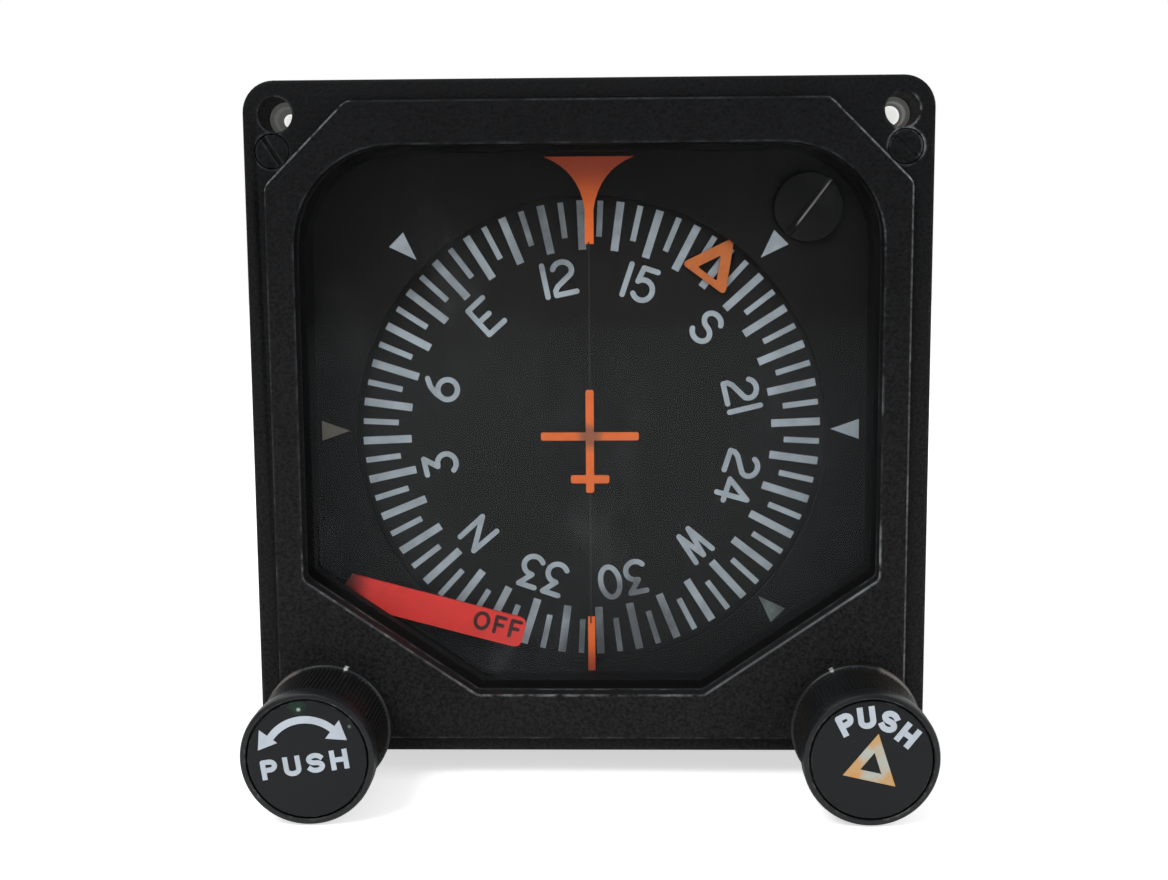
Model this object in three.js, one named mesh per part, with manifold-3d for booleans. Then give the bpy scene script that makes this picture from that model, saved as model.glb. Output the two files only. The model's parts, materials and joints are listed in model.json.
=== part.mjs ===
// Aircraft directional gyro, panel instrument.
// Millimetres. The viewer stands at -Y and looks along +Y; +X is right and +Z is up.
// The origin is the middle of the square bezel, on the front plane of its flange.

import * as THREE from 'three';
import { mergeVertices } from 'three/addons/utils/BufferGeometryUtils.js';
import Module from 'manifold-3d';

const wasm = await Module();
wasm.setup();

// Clearances shared by the whole instrument
const SEAT = 0.1;          // between faces that rest on each other
const RUN = 0.08;          // radial, round shafts in round holes
const FIT = 0.15;          // around flat pieces in pockets
const OVER = 2;            // how far a cutting tool runs past the metal
const WELD = 1e-4;         // vertices nearer than this are one
const ARC_UNIT = 1;        // corners of this radius get two facets, larger ones more

// Bezel casting
const BEZEL_SIDE = 82.55;
const BEZEL_HALF = BEZEL_SIDE / 2;
const BEZEL_CORNER = 3.8;
const FLANGE_DEPTH = 10.5;
const PLATEAU_RISE = 1.1;
const PLATEAU_SIDE_MARGIN = 2.55;
const PLATEAU_TOP_MARGIN = 2.5;
const PLATEAU_BOTTOM_MARGIN = 1.9;
const PLATEAU_CHAMFER = 10;
const PLATEAU_CORNER = 5;

// Window
const WINDOW_SIDE_INSET = 5.975;
const WINDOW_TOP_INSET = 7.775;
const WINDOW_BOTTOM_INSET = 7.575;
const WINDOW_HALF = BEZEL_HALF - WINDOW_SIDE_INSET;
const WINDOW_TOP = BEZEL_HALF - WINDOW_TOP_INSET;
const WINDOW_BOTTOM = BEZEL_HALF - WINDOW_BOTTOM_INSET;
const WINDOW_TOP_RADIUS = 12;
const WINDOW_CHAMFER_WIDTH = 21.3;
const WINDOW_CHAMFER_HEIGHT = 14.5;
const WINDOW_SMALL_RADIUS = 1;
const LEDGE_DEPTH = 1.3;
const LEDGE_WIDTH = 0.9;
const GASKET_THICK = 0.5;
const GASKET_WIDTH = 0.7;
const GLASS_THICK = 1.8;
const FRAME_WALL = 1.2;
const FRAME_DEPTH = 4.1;

// Gear bays in the bezel's lower corners
const BAY_WALL = 1.1;
const BAY_FLOOR = 5.2;
const BAY_LAP = 5;
const BAY_INNER = WINDOW_HALF - WINDOW_CHAMFER_WIDTH - BAY_LAP;

// Mounting holes and flange screws
const MOUNT_SIDE_INSET = 3.975;
const MOUNT_TOP_INSET = 4.075;
const MOUNT_X = BEZEL_HALF - MOUNT_SIDE_INSET;
const MOUNT_Z = BEZEL_HALF - MOUNT_TOP_INSET;
const MOUNT_RADIUS = 2.08;
const INSERT_RADIUS = 2.9;
const INSERT_BORE = 1.55;
const INSERT_DEPTH = 3.9;
const SCREW_SIDE_INSET = 3.475;
const SCREW_TOP_INSET = 8.375;
const SCREW_X = BEZEL_HALF - SCREW_SIDE_INSET;
const SCREW_Z = BEZEL_HALF - SCREW_TOP_INSET;
const SCREW_HEAD_RADIUS = 2;
const SCREW_HEAD_HEIGHT = 1.1;
const SCREW_SHANK_RADIUS = 1.1;
const SCREW_LENGTH = 15;
const SLOT_WIDTH = 0.5;
const SLOT_DEPTH = 0.45;
const SCREW_SLOT_TURN = THREE.MathUtils.degToRad(-38);

// Compass card and its surroundings
const CARD_DROP = 2.1;
const CARD_INSET = 4.7;
const CARD_RADIUS = WINDOW_HALF - CARD_INSET;
const CARD_THICK = 0.6;
const CARD_BORE = 1.6;
const MASK_THICK = 0.6;
const MASK_LAP = 0.7;
const MASK_HOLE = CARD_RADIUS - MASK_LAP;
const MASK_MARGIN = 0.7;
const BUG_GAP = 0.35;
const BUG_THICK = 0.4;
const BUG_HEIGHT = 6.35;
const BUG_BASE_RADIUS = CARD_RADIUS - BUG_HEIGHT;
const BUG_BASE_HALF_ANGLE = THREE.MathUtils.degToRad(8.2);
const BUG_ANGLE = THREE.MathUtils.degToRad(36.6);
const BUG_STROKE = 1.2;
const BUG_ARM_GAP = 0.5;
const BUG_ARM_THICK = 0.8;
const BUG_ARM_INNER = CARD_RADIUS + BUG_ARM_GAP;
const BUG_ARM_OUTER = BUG_ARM_INNER + BUG_ARM_THICK;
const BUG_ARM_HALF_ANGLE = THREE.MathUtils.degToRad(4.5);
const BUG_STEM_HALF = 0.8;

// Fixed marks behind the glass
const MARK_THICK = 0.3;
const LUBBER_INSET = 1;
const LUBBER_LENGTH = 10.8;
const LUBBER_TOP = WINDOW_TOP - LUBBER_INSET;
const LUBBER_TIP = LUBBER_TOP - LUBBER_LENGTH;
const LUBBER_HALF = 5.6;
const LUBBER_STEM_HALF = 0.55;
const LUBBER_FUNNEL = 6.5;
const LUBBER_CURVE_HALF = 1.2;
const LUBBER_CURVE_DROP = 1.75;
const LOWER_LINE_INSET = 0.6;
const LOWER_LINE_LENGTH = 7.1;
const LOWER_LINE_BOTTOM = LOWER_LINE_INSET - WINDOW_BOTTOM;
const LOWER_LINE_TOP = LOWER_LINE_BOTTOM + LOWER_LINE_LENGTH;
const LOWER_LINE_HALF = 0.45;
const PLANE_NOSE = 5.8;
const PLANE_TAIL = 7.1;
const PLANE_WING_HALF = 6.1;
const PLANE_TAIL_HALF = 2.35;
const PLANE_TAIL_DROP = 5.4;
const PLANE_STROKE_HALF = 0.48;
const HAIRLINE_HALF = 0.12;
const PLUG_SIDE_INSET = 8;
const PLUG_TOP_INSET = 7.4;
const PLUG_X = WINDOW_HALF - PLUG_SIDE_INSET;
const PLUG_Z = WINDOW_TOP - PLUG_TOP_INSET;
const PLUG_RADIUS = 4.4;
const PLUG_HEAD = 0.8;
const PLUG_STEM_RADIUS = 3.2;
const PLUG_STEM_LENGTH = 2;
const PLUG_SLOT_WIDTH = 0.8;
const PLUG_SLOT_TURN = THREE.MathUtils.degToRad(52.7);

// Spur gears
const BUG_RING_TEETH = 84;
const BUG_RING_INSET = 1.7;
const MODULE = (2 * (WINDOW_HALF - BUG_RING_INSET)) / BUG_RING_TEETH;
const ADDENDUM = 0.6 * MODULE;
const DEDENDUM = 0.85 * MODULE;
const TIP_SHARE = 0.2;
const ROOT_SHARE = 0.58;
const GEAR_BACKLASH = 0.14;
const PINION_TEETH = 6;
const HEADING_IDLER_TEETH = 14;
const SYNC_IDLER_TEETH = 13;
const CARD_GEAR_TEETH = 86;
const IDLER_THICK = 1;
const IDLER_BORE = 1.1;
const RING_GEAR_THICK = 1.2;
const MESH_REST_GAP = 0.5;

// Card shaft
const CARD_SHAFT_RADIUS = 1.5;
const CARD_FLANGE_RADIUS = 9;
const CARD_FLANGE_THICK = 0.8;
const CARD_DRUM_RADIUS = 7;
const BUG_RING_GAP = 0.2;
const CARD_GEAR_GAP = 1.6;
const BEARING_RADIUS = 5;
const BEARING_RIM = 6;
const BEARING_RIM_THICK = 0.8;

// Knobs
const PINION_GAP = 0.395;
const KNOB_Z = BAY_WALL + (MODULE * PINION_TEETH) / 2 + ADDENDUM + PINION_GAP - BEZEL_HALF;
const TRAIN_TEETH = BUG_RING_TEETH / 2 + HEADING_IDLER_TEETH + PINION_TEETH / 2;
const TRAIN_LENGTH = MODULE * TRAIN_TEETH + 2 * GEAR_BACKLASH;
const KNOB_X = Math.sqrt(TRAIN_LENGTH ** 2 - (KNOB_Z + CARD_DROP) ** 2);
const KNOB_TRAVEL = 2;
const KNOB_STOP_GAP = 0.2;
const KNOB_LENGTH = 12.8;
const KNOB_BASE_RADIUS = 7.9;
const KNOB_BASE_THICK = 1.3;
const KNOB_FLUTE_OUTER = 7.75;
const KNOB_FLUTE_INNER = 7.35;
const KNOB_FLUTES = 32;
const KNOB_RIM_RADIUS = 7.85;
const KNOB_RIM_THICK = 2.4;
const KNOB_RIM_EDGE = 0.5;
const KNOB_CAP_RADIUS = 6.95;
const KNOB_CAP_THICK = 1;
const KNOB_CAP_BELOW_RIM = 0.1;
const KNOB_RECESS_RADIUS = 5.2;
const KNOB_RECESS_DEPTH = 6;
const KNOB_SHAFT_RADIUS = 1.59;
const KNOB_SHAFT_DEPTH = 10;
const SET_SCREW_RADIUS = 0.95;
const SET_SCREW_INSET = 3.4;
const BUSHING_RADIUS = 2.6;
const BUSHING_FLANGE_RADIUS = 4.2;
const BUSHING_FLANGE_THICK = 0.8;
const SPRING_RADIUS = 3.3;
const SPRING_WIRE = 0.5;
const SPRING_TURNS = 6;
const SPRING_STEPS = 8;
const SPRING_WIRE_SIDES = 4;
const NECK_RADIUS = 1.15;
const CARRIER_THICK = 0.8;
const CARRIER_END_RADIUS = 2.6;
const SPINDLE_RADIUS = 1;
const SPINDLE_HEAD_RADIUS = 1.8;
const SPINDLE_HEAD_THICK = 0.4;
const SHAFT_END = 0.5;

// Warning flag
const FLAG_PIVOT_BESIDE = 2.4;
const FLAG_PIVOT_X = -WINDOW_HALF - FLAG_PIVOT_BESIDE;
const FLAG_THICK = 0.4;
const FLAG_PLANE = 6.2;
const FLAG_TILT = THREE.MathUtils.degToRad(-14.8);
const FLAG_INSET = 4.7;
const FLAG_RISE = 13.7;
const FLAG_LEFT = FLAG_INSET - WINDOW_HALF;
const FLAG_LEFT_TOP = FLAG_RISE - WINDOW_BOTTOM;
const FLAG_LENGTH = 23.2;
const FLAG_HEIGHT = 3.95;
const FLAG_END_RADIUS = 0.9;
const FLAG_ROOT_CUT = 1.5;
const FLAG_ARM_WIDTH = 1;
const FLAG_HUB_RADIUS = 1.45;
const FLAG_ELBOW_OUT = 4.8;
const FLAG_ELBOW_DROP = 1;
const FLAG_ROOT_OUT = 1.8;
const FLAG_ROOT_DROP = 2;
const FLAG_ELBOW_X = FLAG_LEFT - FLAG_ELBOW_OUT;
const FLAG_ELBOW_Z = FLAG_LEFT_TOP - FLAG_ELBOW_DROP;
const FLAG_ARM_RISE = 13;
const FLAG_PIVOT_Z = FLAG_ELBOW_Z + FLAG_ARM_RISE;
const FLAG_BAY_ROOM = 5;
const BAY_TOP = -FLAG_PIVOT_Z - FLAG_BAY_ROOM;
const FLAG_ROOT_X = FLAG_LEFT - FLAG_ROOT_OUT;
const FLAG_ROOT_Z = FLAG_LEFT_TOP - FLAG_ROOT_DROP;
const FLAG_SLOT = 1.5;
const FLAG_SLOT_RISE = 5.5;
const FLAG_ARBOR_RADIUS = 0.8;
const FLAG_MOTOR_WIDTH = 5.4;
const FLAG_MOTOR_HEIGHT = 12;
const FLAG_MOTOR_DEPTH = 9;

// Case and cover
const CASE_INSET = 0.3;
const CASE_WALL = 0.8;
const CASE_CORNER = 4;
const COVER_GAP = 6.3;
const FRONT_BOSS_DEPTH = 7.4;
const FRONT_BOSS_HALF = 2.6;
const REAR_BOSS_DEPTH = 12;
const REAR_BOSS_SIZE = 7.5;
const COVER_THICK = 2;
const COVER_SCREW_INSET = 4.975;
const COVER_SCREW_PLACE = BEZEL_HALF - COVER_SCREW_INSET;
const COVER_SCREW_RADIUS = 1.4;
const COVER_SCREW_HEAD_RADIUS = 2.7;
const COVER_SCREW_HEAD_THICK = 1.8;
const COVER_SCREW_LENGTH = 9;
const COVER_SCREW_TURN = THREE.MathUtils.degToRad(57);
const CONNECTOR_FLANGE_HALF = 14;
const CONNECTOR_FLANGE_THICK = 2;
const CONNECTOR_RADIUS = 11;
const CONNECTOR_WALL = 2.2;
const CONNECTOR_LENGTH = 12;
const CONNECTOR_NECK_RADIUS = 10;
const INSERT_LENGTH = 9;
const PIN_RADIUS = 0.6;
const PIN_LENGTH = 3.5;
const PIN_CIRCLE = 6;
const PIN_COUNT = 8;
const KEYWAY_RADIUS = 0.9;

// Gyro frame and gimbals
const FRAME_PLATE_GAP = 4.5;
const FRAME_PLATE_THICK = 3;
const FRAME_ARM_HALF = 10;
const FRAME_ARM_THICK = 3;
const FRAME_ARM_GAP = 0.4;
const FRAME_HOLE_RADIUS = 8;
const FRAME_HOLE_PLACE = 24;
const GYRO_GAP = 5.1;
const GIMBAL_WALL = 2.8;
const GIMBAL_WIDTH = 7;
const GIMBAL_BOSS_RADIUS = 3.2;
const GIMBAL_BOSS_HEIGHT = 2;
const GIMBAL_STUB_RADIUS = 2;
const GIMBAL_BEARING_RADIUS = 4;
const GIMBAL_SIDES = 32;
const INNER_GIMBAL_WALL = 3.5;
const INNER_GIMBAL_WIDTH = 6;
const TILT_PIN_RADIUS = 1.5;
const TILT_PIN_LENGTH = 4;
const ROTOR_WEB = 5;
const ROTOR_HUB_RADIUS = 4.5;
const ROTOR_GAP = 0.4;
const ROTOR_SHAFT_RADIUS = 1.5;
const ROTOR_BEARING_RADIUS = 2.5;
const ROTOR_BEARING_LENGTH = 3;
const INNER_GIMBAL_GAP = 1.5;
const SLIP_RING_ROOM = 11.575;
const GIMBAL_OUTER = BEZEL_HALF - CASE_INSET - CASE_WALL - FRAME_ARM_GAP - FRAME_ARM_THICK - SLIP_RING_ROOM;
const INNER_GIMBAL_RADIUS = GIMBAL_OUTER - GIMBAL_WALL - INNER_GIMBAL_GAP;
const ROTOR_WIDTH_SHARE = 0.9;
const ROTOR_RIM_SHARE = 0.32;
const ROTOR_REACH = INNER_GIMBAL_RADIUS - INNER_GIMBAL_WALL - ROTOR_GAP;
const ROTOR_RADIUS = ROTOR_REACH / Math.hypot(1, ROTOR_WIDTH_SHARE / 2);
const ROTOR_RIM = ROTOR_RIM_SHARE * ROTOR_RADIUS;
const ROTOR_WIDTH = ROTOR_WIDTH_SHARE * ROTOR_RADIUS;
const BEVEL_GAP = 1.8;
const BEVEL_RADIUS = GIMBAL_OUTER + BEVEL_GAP;
const BEVEL_TEETH = 36;
const BEVEL_FACE = 3;
const BEVEL_ADDENDUM = 0.7;
const BEVEL_DEDENDUM = 0.95;
const BEVEL_BACK = 2.9;
const BEVEL_WEB = 1.5;
const BEVEL_REAR = -BEVEL_RADIUS - BEVEL_BACK;
const SLIP_RING_RADIUS = 4.6;
const SLIP_RING_GROOVE = 0.5;
const SLIP_RING_PITCH = 1.5;
const SLIP_RING_COUNT = 3;
const BRUSH_GAP = 0.3;
const BRUSH_WIDTH = 3;
const BRUSH_LENGTH = 8;
const BRUSH_HEIGHT = 9.5;

// Electronics
const BOARD_GAP = 3.2;
const BOARD_THICK = 1.6;
const BOARD_SIDE_GAP = 4.175;
const BOARD_TOP_GAP = 1.175;
const CHIP_HEIGHT = 2.2;
const CHIP_WIDTH = 7.5;
const CHIP_LENGTH = 15;
const TRANSFORMER_WIDTH = 24;
const TRANSFORMER_HEIGHT = 20;
const TRANSFORMER_DEPTH = 16;
const TRANSFORMER_RISE = 21;

// Planes worked out from the sizes above, counted along Y
const GASKET_FRONT = LEDGE_DEPTH + SEAT;
const GLASS_FRONT = GASKET_FRONT + GASKET_THICK + SEAT;
const GLASS_BACK = GLASS_FRONT + GLASS_THICK;
const FRAME_FRONT = GLASS_BACK + SEAT;
const FRAME_BACK = FRAME_FRONT + FRAME_DEPTH;
const MASK_FRONT = FRAME_BACK + SEAT;
const MASK_BACK = MASK_FRONT + MASK_THICK;
const BUG_FRONT = MASK_BACK + BUG_GAP;
const CARD_FRONT = BUG_FRONT + BUG_THICK + BUG_GAP;
const CARD_BACK = CARD_FRONT + CARD_THICK;
const HUB_FRONT = CARD_BACK + SEAT;
const HUB_BACK = HUB_FRONT + CARD_FLANGE_THICK;
const BUG_RING_FRONT = HUB_BACK + BUG_RING_GAP;
const BUG_RING_BACK = BUG_RING_FRONT + RING_GEAR_THICK;
const CARD_GEAR_FRONT = BUG_RING_BACK + CARD_GEAR_GAP;
const CARD_GEAR_BACK = CARD_GEAR_FRONT + RING_GEAR_THICK;
const FRAME_PLATE_FRONT = CARD_GEAR_BACK + FRAME_PLATE_GAP;
const FRAME_PLATE_BACK = FRAME_PLATE_FRONT + FRAME_PLATE_THICK;
const GYRO_DEPTH = FRAME_PLATE_BACK + GYRO_GAP - BEVEL_REAR;
const BOARD_DEPTH = GYRO_DEPTH + BEVEL_RADIUS + BOARD_GAP;
const CASE_FRONT = FLANGE_DEPTH + SEAT;
const CASE_BACK = BOARD_DEPTH + BOARD_THICK + TRANSFORMER_DEPTH + COVER_GAP;
const CASE_HALF = BEZEL_HALF - CASE_INSET;
const CASE_INNER = CASE_HALF - CASE_WALL;
const BOARD_WIDTH = 2 * (CASE_INNER - BOARD_SIDE_GAP);
const BOARD_HEIGHT = 2 * (CASE_INNER - BOARD_TOP_GAP);
const TRANSFORMER_Z = TRANSFORMER_RISE - BOARD_HEIGHT / 2;
const COVER_FRONT = CASE_BACK + SEAT;
const COVER_BACK = COVER_FRONT + COVER_THICK;
const KNOB_BACK = -PLATEAU_RISE - KNOB_STOP_GAP - KNOB_TRAVEL;
const KNOB_FRONT = KNOB_BACK - KNOB_LENGTH;

// Finishes
const finish = (color, roughness, metalness) => ({ color, roughness, metalness });
const BLACK_PAINT = finish(0x1e2026, 0.62, 0.1);
const SATIN_BLACK = finish(0x141416, 0.4, 0.1);
const DULL_BLACK = finish(0x191a1d, 0.85, 0);
const RUBBER = finish(0x101010, 0.9, 0);
const CLEAR_GLASS = finish(0xaab4bb, 0.05, 0);
const ORANGE = finish(0xeb7328, 0.6, 0);
const RED = finish(0xd73c32, 0.6, 0);
const STEEL = finish(0xa8aaae, 0.35, 0.9);
const BRASS = finish(0xb8944c, 0.4, 0.9);
const ALUMINIUM = finish(0xb4b6b9, 0.45, 0.85);
const NYLON = finish(0xd8cfb4, 0.6, 0);
const BOARD_GREEN = finish(0x1f5a3a, 0.6, 0);
const LACQUER = finish(0x3a2a1c, 0.5, 0.1);

// Outlines in the panel plane are lists of [x, z] points

const QUARTER = Math.PI / 2;
const polar = (radius, angle) => [radius * Math.cos(angle), radius * Math.sin(angle)];
const moved = (points, dx, dz) => points.map(([x, z]) => [x + dx, z + dz]);
const turned = (points, angle) => points.map(([x, z]) => [
  x * Math.cos(angle) - z * Math.sin(angle), x * Math.sin(angle) + z * Math.cos(angle)]);

function circle(radius, sides, x = 0, z = 0) {
  const at = (i) => polar(radius, (2 * Math.PI * i) / sides);
  return moved(Array.from({ length: sides }, (_, i) => at(i)), x, z);
}

function arc(radius, from, to, x = 0, steps = 8) {
  const at = (k) => polar(radius, THREE.MathUtils.lerp(from, to, k / steps));
  return moved(Array.from({ length: steps + 1 }, (_, k) => at(k)), x, 0);
}

function rectangle(x0, z0, x1, z1) {
  return [[x0, z0], [x1, z0], [x1, z1], [x0, z1]];
}

// Corners are [x, z, radius], counterclockwise; each radius becomes an arc of a few points
function cornerFrame(corners, i) {
  const [x, z, radius] = corners[i];
  const [px, pz] = corners[(i + corners.length - 1) % corners.length];
  const [nx, nz] = corners[(i + 1) % corners.length];
  const back = new THREE.Vector2(px - x, pz - z).normalize();
  const ahead = new THREE.Vector2(nx - x, nz - z).normalize();
  const half = Math.acos(THREE.MathUtils.clamp(back.dot(ahead), -1, 1)) / 2;
  const inward = back.clone().add(ahead).normalize();
  return { point: new THREE.Vector2(x, z), radius, back, ahead, half, inward };
}

function rounded(corners) {
  return corners.flatMap((_, i) => {
    const { point, radius, back, half, inward } = cornerFrame(corners, i);
    if (!radius) return [[point.x, point.y]];
    const steps = Math.max(2, Math.round(2 * Math.sqrt(radius / ARC_UNIT)));
    const centre = point.clone().addScaledVector(inward, radius / Math.sin(half));
    const start = point.clone().addScaledVector(back, radius / Math.tan(half)).sub(centre);
    const sweep = Math.PI - 2 * half;
    return Array.from({ length: steps + 1 }, (_, k) => {
      const p = start.clone().rotateAround(new THREE.Vector2(), (sweep * k) / steps).add(centre);
      return [p.x, p.y];
    });
  });
}

// Moves every edge of a convex outline outwards
function grown(corners, margin) {
  return corners.map((_, i) => {
    const { point, radius, half, inward } = cornerFrame(corners, i);
    const p = point.clone().addScaledVector(inward, -margin / Math.sin(half));
    return [p.x, p.y, Math.max(radius + margin, 0)];
  });
}

const square = (half, radius) => [
  [-half, -half, radius], [half, -half, radius], [half, half, radius], [-half, half, radius]];

const windowCorners = [
  [-WINDOW_HALF + WINDOW_CHAMFER_WIDTH, -WINDOW_BOTTOM, WINDOW_SMALL_RADIUS],
  [WINDOW_HALF - WINDOW_CHAMFER_WIDTH, -WINDOW_BOTTOM, WINDOW_SMALL_RADIUS],
  [WINDOW_HALF, -WINDOW_BOTTOM + WINDOW_CHAMFER_HEIGHT, WINDOW_SMALL_RADIUS],
  [WINDOW_HALF, WINDOW_TOP, WINDOW_TOP_RADIUS],
  [-WINDOW_HALF, WINDOW_TOP, WINDOW_TOP_RADIUS],
  [-WINDOW_HALF, -WINDOW_BOTTOM + WINDOW_CHAMFER_HEIGHT, WINDOW_SMALL_RADIUS],
];
const windowOutline = (margin) => rounded(grown(windowCorners, margin));

// Solids

function shapeOf(points, holes = []) {
  const shape = new THREE.Shape(points.map(([x, y]) => new THREE.Vector2(x, y)));
  shape.holes = holes.map((hole) => new THREE.Path(hole.map(([x, y]) => new THREE.Vector2(x, y))));
  return shape;
}

const extruded = (points, depth, holes) =>
  new THREE.ExtrudeGeometry(shapeOf(points, holes), { depth, bevelEnabled: false });

// A plate in the panel plane between two depths
const plate = (points, front, back, ...holes) =>
  extruded(points, back - front, holes).rotateX(Math.PI / 2).translate(0, back, 0);

function outward(geometry) {
  const p = geometry.attributes.position;
  const index = geometry.index;
  const at = (i) => new THREE.Vector3().fromBufferAttribute(p, index ? index.getX(i) : i);
  const count = index ? index.count : p.count;
  let volume = 0;
  for (let i = 0; i < count; i += 3) volume += at(i).dot(at(i + 1).cross(at(i + 2)));
  if (volume > 0) return geometry;
  const flipped = index ? geometry.toNonIndexed() : geometry;
  const a = flipped.attributes.position.array;
  for (let i = 0; i < a.length; i += 9) {
    for (let k = 0; k < 3; k += 1) [a[i + k], a[i + 3 + k]] = [a[i + 3 + k], a[i + k]];
  }
  flipped.computeVertexNormals();
  return flipped;
}

// A turned piece about the Y axis; the profile is [radius, y] and starts and ends on the axis,
// or closes on itself round a bore
function lathed(profile, sides, bored = false) {
  const points = profile.map(([r, y]) => new THREE.Vector2(r, y));
  if (bored) points.push(points[0].clone());
  return outward(new THREE.LatheGeometry(points, sides));
}

const cylinder = (radius, front, back, sides) =>
  lathed([[0, front], [radius, front], [radius, back], [0, back]], sides);

const tube = (outer, inner, front, back, sides) =>
  lathed([[inner, front], [outer, front], [outer, back], [inner, back]], sides, true);

const box = (x0, x1, y0, y1, z0, z1) =>
  new THREE.BoxGeometry(x1 - x0, y1 - y0, z1 - z0)
    .translate((x0 + x1) / 2, (y0 + y1) / 2, (z0 + z1) / 2);

const upright = (geometry) => geometry.rotateX(QUARTER);
const sideways = (geometry) => geometry.rotateZ(-QUARTER);

function solid(geometry) {
  const bare = geometry.clone();
  bare.deleteAttribute('normal');
  bare.deleteAttribute('uv');
  const merged = mergeVertices(bare, WELD);
  const vertProperties = new Float32Array(merged.attributes.position.array);
  const triVerts = new Uint32Array(merged.index.array);
  return new wasm.Manifold(new wasm.Mesh({ numProp: 3, vertProperties, triVerts }));
}

function surface(manifold) {
  const { vertProperties, triVerts } = manifold.getMesh();
  const geometry = new THREE.BufferGeometry();
  geometry.setAttribute('position', new THREE.BufferAttribute(new Float32Array(vertProperties), 3));
  geometry.setIndex(new THREE.BufferAttribute(new Uint32Array(triVerts), 1));
  const flat = geometry.toNonIndexed();
  flat.computeVertexNormals();
  return flat;
}

const joined = (...pieces) => surface(pieces.map(solid).reduce((a, b) => a.add(b)));
const carved = (body, ...tools) => surface(tools.reduce((a, tool) => a.subtract(solid(tool)), solid(body)));

// Gears: four points for each tooth, the first tooth centred on the given angle
function gearOutline(teeth, phase = 0) {
  const pitchRadius = (MODULE * teeth) / 2;
  const pitch = (2 * Math.PI) / teeth;
  const flank = (share) => (share * pitch) / 2;
  return Array.from({ length: teeth }, (_, i) => phase + i * pitch).flatMap((middle) => [
    polar(pitchRadius - DEDENDUM, middle - flank(ROOT_SHARE)),
    polar(pitchRadius + ADDENDUM, middle - flank(TIP_SHARE)),
    polar(pitchRadius + ADDENDUM, middle + flank(TIP_SHARE)),
    polar(pitchRadius - DEDENDUM, middle + flank(ROOT_SHARE)),
  ]);
}

// The four loops of a bevel gear's toothed ring, from the web's front round to its back;
// the pitch cone opens along -Z from the origin
function bevelLoops(phase) {
  const pitch = (2 * Math.PI) / BEVEL_TEETH;
  const flank = (share) => (share * pitch) / 2;
  const sections = Array.from({ length: BEVEL_TEETH }, (_, i) => phase + i * pitch).flatMap((middle) => [
    [middle - flank(ROOT_SHARE), -BEVEL_DEDENDUM],
    [middle - flank(TIP_SHARE), BEVEL_ADDENDUM],
    [middle + flank(TIP_SHARE), BEVEL_ADDENDUM],
    [middle + flank(ROOT_SHARE), -BEVEL_DEDENDUM],
  ]);
  const inner = (BEVEL_RADIUS - BEVEL_FACE) / BEVEL_RADIUS;
  const rim = BEVEL_RADIUS - BEVEL_DEDENDUM;
  const onCone = (angle, height, share) => {
    const lift = height * Math.SQRT1_2;
    return [...polar((BEVEL_RADIUS + lift) * share, angle), (lift - BEVEL_RADIUS) * share];
  };
  return [
    (angle) => [...polar(rim * inner, angle), BEVEL_REAR + BEVEL_WEB],
    (angle, height) => onCone(angle, height, inner),
    (angle, height) => onCone(angle, height, 1),
    (angle) => [...polar(rim, angle), BEVEL_REAR],
  ].map((at) => sections.map(([angle, height]) => at(angle, height)));
}

// One of a pair of bevel gears with crossed axes; a thin web joins its teeth to its bore
function bevelGear(phase, bore) {
  const loops = bevelLoops(phase);
  const hole = circle(bore, 16);
  const triangles = [];
  const strip = (low, high) => low.forEach((corner, i) => {
    const next = (i + 1) % low.length;
    triangles.push(corner, low[next], high[next], corner, high[next], high[i]);
  });
  const web = (rim, z, front) => {
    const all = [...rim, ...hole.map(([x, y]) => [x, y, z])];
    const [outline, inside] = [rim, hole].map((loop) => loop.map(([x, y]) => new THREE.Vector2(x, y)));
    for (const face of THREE.ShapeUtils.triangulateShape(outline, [inside])) {
      const corners = face.map((k) => all[k]);
      triangles.push(...(front ? corners : corners.reverse()));
    }
  };
  for (let i = 1; i < loops.length; i += 1) strip(loops[i], loops[i - 1]);
  web(loops[0], BEVEL_REAR + BEVEL_WEB, true);
  web(loops[loops.length - 1], BEVEL_REAR, false);
  strip(hole.map(([x, y]) => [x, y, BEVEL_REAR + BEVEL_WEB]), hole.map(([x, y]) => [x, y, BEVEL_REAR]));
  const geometry = new THREE.BufferGeometry();
  geometry.setAttribute('position', new THREE.Float32BufferAttribute(triangles.flat(), 3));
  return outward(geometry);
}

const group = new THREE.Group();

function add(name, geometry, look, x = 0, y = 0, z = 0) {
  const mesh = new THREE.Mesh(geometry, new THREE.MeshStandardMaterial(look));
  mesh.name = name;
  mesh.position.set(x, y, z);
  group.add(mesh);
  return mesh;
}

// Bezel, with the window, the gear bays, and the holes for knobs, screws and mounting

const mirrored = (points) => points.map(([x, z]) => [-x, z]).reverse();

function plateauOutline() {
  const side = BEZEL_HALF - PLATEAU_SIDE_MARGIN;
  const top = BEZEL_HALF - PLATEAU_TOP_MARGIN;
  const bottom = BEZEL_HALF - PLATEAU_BOTTOM_MARGIN;
  return rounded([
    [-side, -bottom, PLATEAU_CORNER], [side, -bottom, PLATEAU_CORNER],
    [side, top - PLATEAU_CHAMFER, WINDOW_SMALL_RADIUS], [side - PLATEAU_CHAMFER, top, WINDOW_SMALL_RADIUS],
    [-side + PLATEAU_CHAMFER, top, WINDOW_SMALL_RADIUS], [-side, top - PLATEAU_CHAMFER, WINDOW_SMALL_RADIUS],
  ]);
}

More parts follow.
